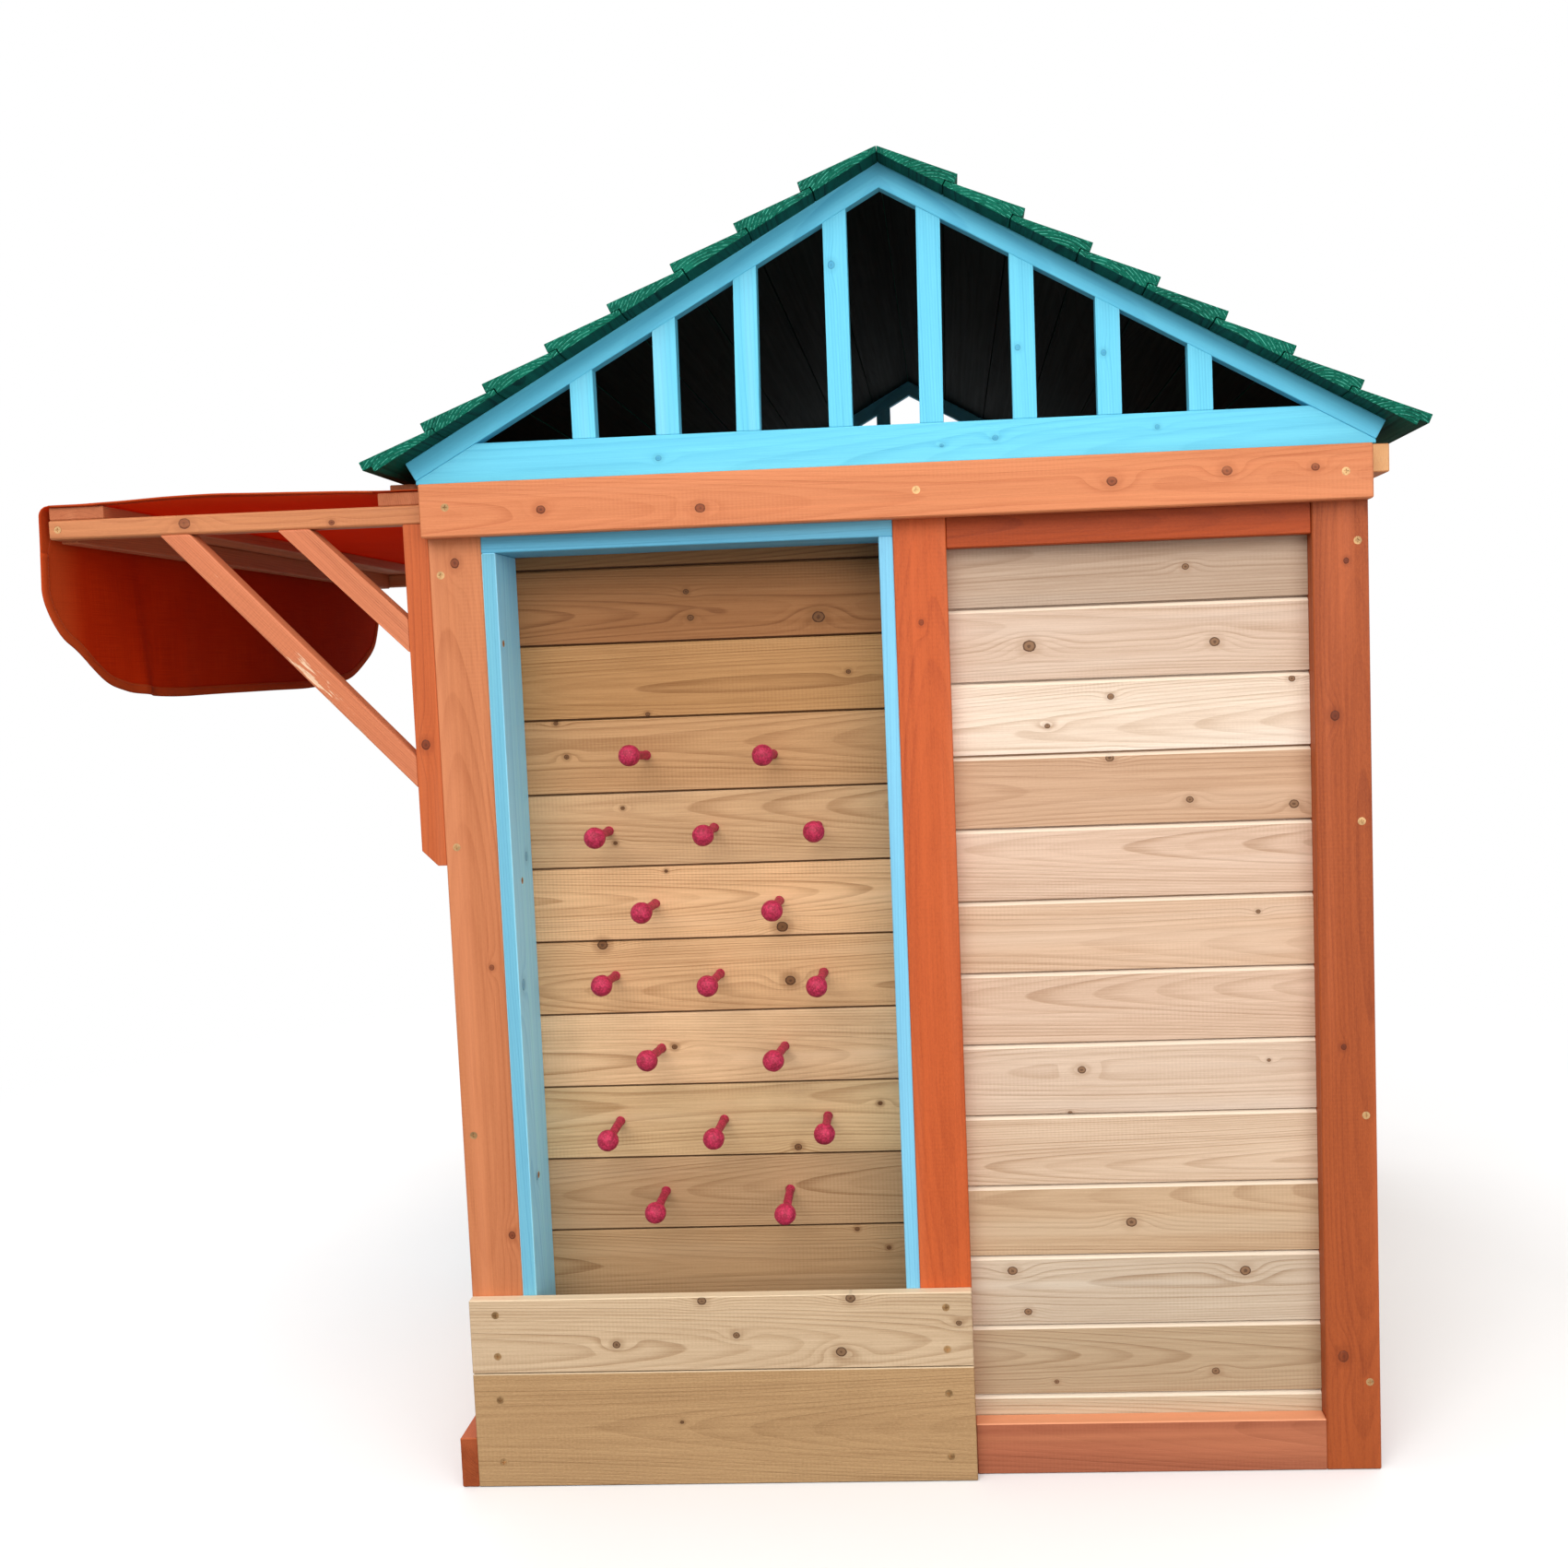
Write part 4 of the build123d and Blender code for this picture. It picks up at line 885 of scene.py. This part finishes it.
# ------------------------------------------------------------- awning canvas
def canvas_material():
    tree = material_tree("canvas_orange")
    cloth_uv = tree.split(tree.node("UVMap", {}, uv_map="cloth"))
    out, along = cloth_uv[:2]
    normal_z = tree.split(tree.coords["Normal"])[2]
    # plain weave, threads every 0.9 mm
    weave = tree.mul(*[tree.calc("SINE", tree.mul(run, 2 * math.pi / 0.0018))
                       for run in (out, along)])
    warp = tree.noise(tree.vec(tree.mul(out, 900.0), tree.mul(along, 14.0), 0.0), 1.0, 2.0)
    weft = tree.noise(tree.vec(tree.mul(out, 14.0), tree.mul(along, 900.0), 3.0), 1.0, 2.0)
    mottle = tree.noise(tree.coords["Object"], scale=7.0, detail=3.0, rough=0.6)
    light = tree.add(tree.swing(warp, 0.8), tree.swing(weft, 0.8))
    light = tree.add(light, tree.swing(mottle, 0.8, 0.5), clamp=True)
    color = tree.mix(light, lin((184, 36, 8)), lin((222, 66, 16)))
    # painted light: the strip along the near edge is made paler
    lit_near_strip = tree.mul(tree.step(along, 0.075, 0.012), tree.mul_add(mottle, 0.6, 0.35))
    color = tree.mix(lit_near_strip, color, lin((206, 92, 44)))
    # and painted shade: the cloth darkens towards the far side
    level = tree.mul_add(tree.step(along, 0.10, 0.75), -0.26, 1.0)
    color = tree.tint(color, tree.vec(level, level, level))
    height = tree.add(tree.mul(weave, 0.3), tree.add(warp, weft))
    normal = tree.bump(height, distance=0.0004, strength=0.6)
    solid = tree.principled(color, 0.85, normal, specular=0.04)
    glow = tree.mix(0.6, color, lin((236, 104, 30)))
    glow = tree.node("BsdfTranslucent", {"Color": glow, "Normal": normal})
    # level cloth lets more light through than the hanging part
    share = tree.mul_add(tree.step(tree.abs(normal_z), 0.5, 0.8), 0.28, 0.20)
    return tree.finish(tree.node("MixShader", {0: share, 1: solid, 2: glow}))


CANVAS = canvas_material()
# all of the cloth is laid out in house millimetres
X_WALL, X_FOLD = -531.5, -975.5     # from the wall to the fold over the front rail
Z_TOP = 1172.6
Z_FOLD = Z_TOP - 3.0                # where the valance starts
Y_NEAR, Y_FAR = -3.0, 1010.0
# outline of the valance, (y, z) from the near corner to the far one
OUTLINE = [
    (-3, 1119), (-3, 1077), (6, 1050), (24, 1024), (46, 1008), (72, 988), (103, 969),
    (135, 960), (170, 955), (259, 950), (412, 952), (540, 954), (674, 956), (770, 963),
    (843, 971), (907, 992), (962, 1020), (985, 1045), (1003, 1088), (1010, 1131)]
TOP_STEPS, DROP_STEPS, ALONG_STEPS = 30, 24, 110
SIDE_STEPS = 45                     # along each side hem of the top sheet
SIDE_START, SIDE_END = 0.13, 0.985  # where the side hems run, wall to fold 0..1
HEM_WIDTH, HEM_GAP, HEM_THICK = 11.0, 0.6, 0.9


def spline(points, count):
    """Catmull-Rom through the points, count points evenly spaced by length."""
    dense = []
    for i in range(len(points) - 1):
        before = Vector(points[max(i - 1, 0)])
        start, end = Vector(points[i]), Vector(points[i + 1])
        after = Vector(points[min(i + 2, len(points) - 1)])
        for k in range(12):
            u = k / 12
            dense.append(0.5 * ((2 * start) + (end - before) * u
                                + (2 * before - 5 * start + 4 * end - after) * u * u
                                + (3 * start - before - 3 * end + after) * u ** 3))
    dense.append(Vector(points[-1]))
    run = [0.0]
    for i in range(1, len(dense)):
        run.append(run[-1] + (dense[i] - dense[i - 1]).length)
    spaced, j = [], 0
    for i in range(count):
        want = run[-1] * i / (count - 1)
        while j < len(run) - 2 and run[j + 1] < want:
            j += 1
        gap = run[j + 1] - run[j]
        part = 0 if gap == 0 else (want - run[j]) / gap
        spaced.append(dense[j].lerp(dense[j + 1], min(max(part, 0), 1)))
    return spaced


EDGE = spline(OUTLINE, 260)


def hem_z(y):
    """Height of the valance's lower edge at this distance along the wall."""
    heights = []
    for (y0, z0), (y1, z1) in zip(EDGE, EDGE[1:]):
        if min(y0, y1) <= y <= max(y0, y1) and y0 != y1:
            heights.append(z0 + (z1 - z0) * (y - y0) / (y1 - y0))
    # rounding may leave the far end just outside the last stretch
    return min(heights, default=EDGE[-1][1])


def clamp_y(y):
    return min(max(y, Y_NEAR), Y_FAR)


def bell(value, width):
    return math.exp(-(value / width) ** 2)


def top_point(out, y):
    """The top sheet, out = 0 at the wall and 1 at the fold: it lies on the battens and
    sags between them, least at the edges."""
    part = (y - Y_NEAR) / (Y_FAR - Y_NEAR)
    x = X_WALL + (X_FOLD - X_WALL) * out
    middle = math.sin(math.pi * part)
    # free span between the battens
    free = min(max((out - 0.11) / (0.87 - 0.11), 0.0), 1.0)
    span = math.sin(math.pi * free)
    sag = -9.0 * span ** 1.3 * middle ** 0.45
    arch = 4.5 * span * (1 - middle) ** 2
    ripple = (2.2 * noise.noise(Vector((out * 2.2, part * 7.0, 4.2)))
              + 0.9 * noise.noise(Vector((out * 6.0, part * 19.0, 1.2)))) * span
    pucker = 0.0
    if free > 0:
        pucker += 1.1 * abs(math.sin(part * math.pi * 14)) * bell(free, 0.10)
    if free < 1:
        pucker += 0.9 * abs(math.sin(part * math.pi * 11 + 0.7)) * bell(free - 1.0, 0.08)
    return Vector((x, y, Z_TOP + sag + arch + ripple + pucker))


def drop_point(drop, y):
    """The valance, drop below the fold; soft folds grow towards the hem."""
    part = (y - Y_NEAR) / (Y_FAR - Y_NEAR)
    grow = min(drop / 225.0, 1.1)
    fold = (8.5 * math.sin(part * 10.4 + 1.1) + 4.0 * math.sin(part * 21.0 + 2.3 + grow)
            + 5.0 * noise.noise(Vector((part * 6.0, grow * 0.9, 1.7))))
    # two slanting creases near the near corner, two upright ones further on
    crease = 5.5 * bell(y - 165.0 - 20 * grow, 16.0) - 4.5 * bell(y - 196.0 - 20 * grow, 20.0)
    crease += 3.5 * bell(y - 300.0, 22.0) - 3.0 * bell(y - 690.0, 30.0)
    # the end corners curl outwards
    near = max(0.0, 1 - (y - Y_NEAR) / 66.0)
    far = max(0.0, 1 - (Y_FAR - y) / 66.0)
    x = (X_FOLD - 1.5 + (fold * 0.50 + crease) * grow ** 1.1
         - 15.0 * near ** 1.5 * (0.25 + 0.75 * grow) - 8.0 * far ** 1.5 * grow)
    return Vector((x, y, Z_FOLD - drop))


def build_cloth():
    """Top sheet and valance in one grid, UV in metres from the wall and along it."""
    verts, uvs, faces = [], [], []
    columns = TOP_STEPS + DROP_STEPS + 1
    for j in range(ALONG_STEPS + 1):
        # rows stand a little closer at both ends
        part = j / ALONG_STEPS
        part = 0.5 - 0.5 * math.cos(math.pi * part) * 0.35 + 0.65 * (part - 0.5)
        y = clamp_y(Y_NEAR + (Y_FAR - Y_NEAR) * part)
        full = Z_FOLD - hem_z(y)
        for i in range(columns):
            if i <= TOP_STEPS:
                point = top_point(i / TOP_STEPS, y)
                run = X_WALL - point.x
            else:
                drop = full * ((i - TOP_STEPS) / DROP_STEPS) ** 0.92
                point = drop_point(drop, y)
                run = (X_WALL - X_FOLD) + drop
            verts.append(house(*point))
            uvs.append((run / 1000, y / 1000))
    for j in range(ALONG_STEPS):
        for i in range(columns - 1):
            first = j * columns + i
            faces.append((first, first + 1, first + columns + 1, first + columns))
    return mesh_object("awning_cloth", "canvas", verts, faces, uvs)


def apply_modifiers(thing):
    depsgraph = bpy.context.evaluated_depsgraph_get()
    mesh = bpy.data.meshes.new_from_object(thing.evaluated_get(depsgraph))
    thing.modifiers.clear()
    thing.data = mesh


def thicken(thing, thickness, **settings):
    solid = thing.modifiers.new("thick", "SOLIDIFY")
    solid.thickness = thickness
    for key, value in settings.items():
        setattr(solid, key, value)
    apply_modifiers(thing)


cloth = build_cloth()
subdivision = cloth.modifiers.new("sub", "SUBSURF")
subdivision.levels = subdivision.render_levels = 1
thicken(cloth, 0.0010, offset=0)


# Edge paths hold (point, direction into the cloth, normal).
def side_path(y, inward, start, end):
    """Along one side of the top sheet."""
    return [(top_point(start + (end - start) * k / SIDE_STEPS, y),
             Vector((0, inward, 0)), Vector((0, 0, -1))) for k in range(SIDE_STEPS + 1)]


def valance_path():
    """Round the valance's free edge from the near corner to the far one."""
    path = []
    probe = 4.0
    for k, (y, z) in enumerate(EDGE):
        y = clamp_y(y)
        drop = Z_FOLD - z
        point = drop_point(drop, y)
        before, after = EDGE[max(k - 1, 0)], EDGE[min(k + 1, len(EDGE) - 1)]
        tangent = Vector((after[0] - before[0], after[1] - before[1])).normalized()
        flat = Vector((0, -tangent[1], tangent[0]))
        inner = drop_point(drop - probe * flat.z, clamp_y(y + probe * flat.y))
        inward = (inner - point).normalized()
        normal = inward.cross(Vector((0, tangent[0], tangent[1]))).normalized()
        if normal.x < 0:
            normal = -normal
        path.append((point, inward, normal))
    return path


def ribbon(name, path):
    """A turned hem: a narrow doubled strip lying on the inside of the cloth along path."""
    # (distance into the cloth, height off it)
    profile = [(0.0, 0.0), (-0.7, HEM_GAP * 0.6), (0.0, HEM_GAP + HEM_THICK),
               (HEM_WIDTH * 0.5, HEM_GAP + HEM_THICK * 1.15),
               (HEM_WIDTH - 0.5, HEM_GAP + HEM_THICK),
               (HEM_WIDTH, HEM_GAP + HEM_THICK * 0.5), (HEM_WIDTH, HEM_GAP)]
    verts, faces, uvs = [], [], []
    run = 0.0
    for i, (point, inward, normal) in enumerate(path):
        if i:
            run += (point - path[i - 1][0]).length
        for reach, lift in profile:
            verts.append(house(*(point + inward * reach + normal * lift)))
            uvs.append((run / 1000, reach / 1000))
    count = len(profile)
    for i in range(len(path) - 1):
        for k in range(count - 1):
            first = i * count + k
            faces.append((first, first + 1, first + count + 1, first + count))
    return mesh_object(name, name, verts, faces, uvs)


def stitches(name, path, inset, pitch, lift):
    """Lock stitches standing proud of the hem."""
    # (place along the stitch, height) of its four cross lines
    shape = ((-1.45, 0.0), (-0.8, 0.42), (0.8, 0.42), (1.45, 0.0))
    half_width, sunk = 0.32, 0.1
    verts, faces = [], []
    run, following = 0.0, 2.0
    for i in range(1, len(path)):
        start, end = path[i - 1][0], path[i][0]
        inward, normal = path[i][1:]
        gap = (end - start).length
        while following < run + gap:
            point = start.lerp(end, (following - run) / gap)
            tangent = (end - start).normalized()
            middle = point + inward * inset + normal * lift
            base = len(verts)
            for reach, height in shape:
                for side in (-half_width, half_width):
                    verts.append(house(*(middle + tangent * reach + inward * side
                                         + normal * (height - sunk))))
            for k in range(3):
                first = base + k * 2
                faces.append((first, first + 1, first + 3, first + 2))
            following += pitch
        run += gap
    return mesh_object(name, name, verts, faces)


near_path = side_path(Y_NEAR, 1, SIDE_START, SIDE_END)
drop_path = valance_path()
far_path = side_path(Y_FAR, -1, SIDE_END, SIDE_START)
hems = [ribbon("awning_hem", drop_path), ribbon("awning_hem_near", near_path),
        ribbon("awning_hem_far", far_path)]
stitching = stitches("awning_stitching", near_path + drop_path + far_path,
                     inset=9.0, pitch=4.4, lift=1.9)
thicken(stitching, 0.0003)
for hem in hems:
    thicken(hem, 0.0004)


def thread_material():
    tree = material_tree("canvas_thread")
    fuzz = tree.noise(tree.coords["Object"], scale=1500.0, detail=2.0, rough=0.6)
    color = tree.mix(fuzz, lin((150, 44, 18)), lin((214, 92, 44)))
    normal = tree.bump(fuzz, distance=0.0001)
    return tree.finish(tree.principled(color, 0.7, normal, specular=0.4))


for thing in (cloth, *hems):
    shade_smooth(thing)
    thing.data.materials.append(CANVAS)
stitching.data.materials.append(thread_material())
for thing in (cloth, *hems, stitching):
    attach(thing, "house")
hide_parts("awning_canvas")


# ------------------------------------------------------------------- studio
SKY_LOW, SKY_HIGH = 0.40, 1.10      # sky strength near the horizon and overhead
FLOOR_HALF = 9                      # metres


def floor_material():
    """Pale to the camera, grey to bounced light, and glowing white further out."""
    tree = material_tree("floor_pale")
    x, y = tree.split(tree.coords["Object"])[:2]
    cloudy = tree.noise(tree.coords["Object"], scale=2.0, detail=3.0)
    seen = tree.node("LightPath", {}, "Is Camera Ray")
    pale = tree.mix(cloudy, lin((240, 240, 240)), lin((246, 246, 246)))
    matt = tree.node("BsdfDiffuse", {0: tree.mix(seen, lin((150, 150, 150)), pale)})
    glow = tree.node("Emission", {0: (1.0, 1.0, 1.0, 1)})
    share = tree.mul(seen, tree.step(tree.length(x, y), 0.9, 2.4))
    return tree.finish(tree.node("MixShader", {0: share, 1: matt, 2: glow}))


def build_floor():
    corners = [(x * FLOOR_HALF, y * FLOOR_HALF, 0)
               for x, y in ((-1, -1), (1, -1), (1, 1), (-1, 1))]
    floor = mesh_object("studio_floor", "studio_floor", corners, [(0, 1, 2, 3)])
    floor.location.z = -0.0005
    floor.data.materials.append(floor_material())


def build_world():
    """White to the camera; for lighting, brighter overhead than at the horizon."""
    scene.world = bpy.data.worlds.new("studio")
    tree = Tree(scene.world)
    up = tree.split(tree.coords["Generated"])[2]
    sky = tree.step(up, -0.15, 0.85, low=SKY_LOW, high=SKY_HIGH)
    seen = tree.node("LightPath", {}, "Is Camera Ray")
    strength = tree.node("Mix", {0: seen, 2: sky, 3: 1.0}, data_type="FLOAT")
    background = tree.node("Background", {0: (1.0, 1.0, 1.0, 1), 1: strength})
    tree.finish(background, "OutputWorld")


def area(name, place, target, size, power, color=(1, 1, 1)):
    data = bpy.data.lights.new(name, "AREA")
    data.shape = "RECTANGLE"
    data.size, data.size_y = size
    data.energy = power
    data.color = color
    lamp = bpy.data.objects.new(name, data)
    lamp.location = place
    aim = Vector(target) - Vector(place)
    lamp.rotation_euler = aim.to_track_quat("-Z", "Y").to_euler()
    scene.collection.objects.link(lamp)


build_floor()
build_world()
area("key", place=(-0.8, -4.3, 3.7), target=(0.1, -0.6, 0.7), size=(4.0, 3.0), power=138,
     color=(1.0, 0.99, 0.97))
area("fill", place=(2.6, -4.3, 1.5), target=(0.1, -0.4, 0.5), size=(3.0, 2.0), power=56,
     color=(0.97, 0.985, 1.0))
area("rim", place=(-2.2, 3.4, 4.4), target=(0.0, 0.2, 0.9), size=(2.5, 2.5), power=60)

scene.view_settings.view_transform = "Standard"
scene.view_settings.look = "None"
scene.view_settings.exposure = 0.0

# ------------------------------------------------------------------- camera
CAMERA_PLACE = (59.092, -1675.3109, 945.8976)   # house millimetres
PITCH, YAW, ROLL = 0.0716, 0.0462, -0.0378      # radians, away from looking level along +Y


def build_camera():
    data = bpy.data.cameras.new("camera")
    camera = bpy.data.objects.new("camera", data)
    scene.collection.objects.link(camera)
    # house axes to view axes: x right, y down, z ahead
    view = Matrix(((1, 0, 0), (0, 0, -1), (0, 1, 0)))
    view = (Matrix.Rotation(ROLL, 3, "Z") @ Matrix.Rotation(PITCH, 3, "X")
            @ Matrix.Rotation(YAW, 3, "Y") @ view)
    # a camera has y up and looks along -z
    turn = view.transposed() @ Matrix(((1, 0, 0), (0, -1, 0), (0, 0, -1)))
    camera.matrix_world = Matrix.Translation(house(*CAMERA_PLACE)) @ turn.to_4x4()
    data.sensor_fit = "HORIZONTAL"
    data.sensor_width = 36.0
    data.lens = 33.862434
    data.shift_x = -0.063940035
    data.shift_y = -0.0039620811
    data.clip_start = 0.05
    data.clip_end = 60
    scene.camera = camera


build_camera()
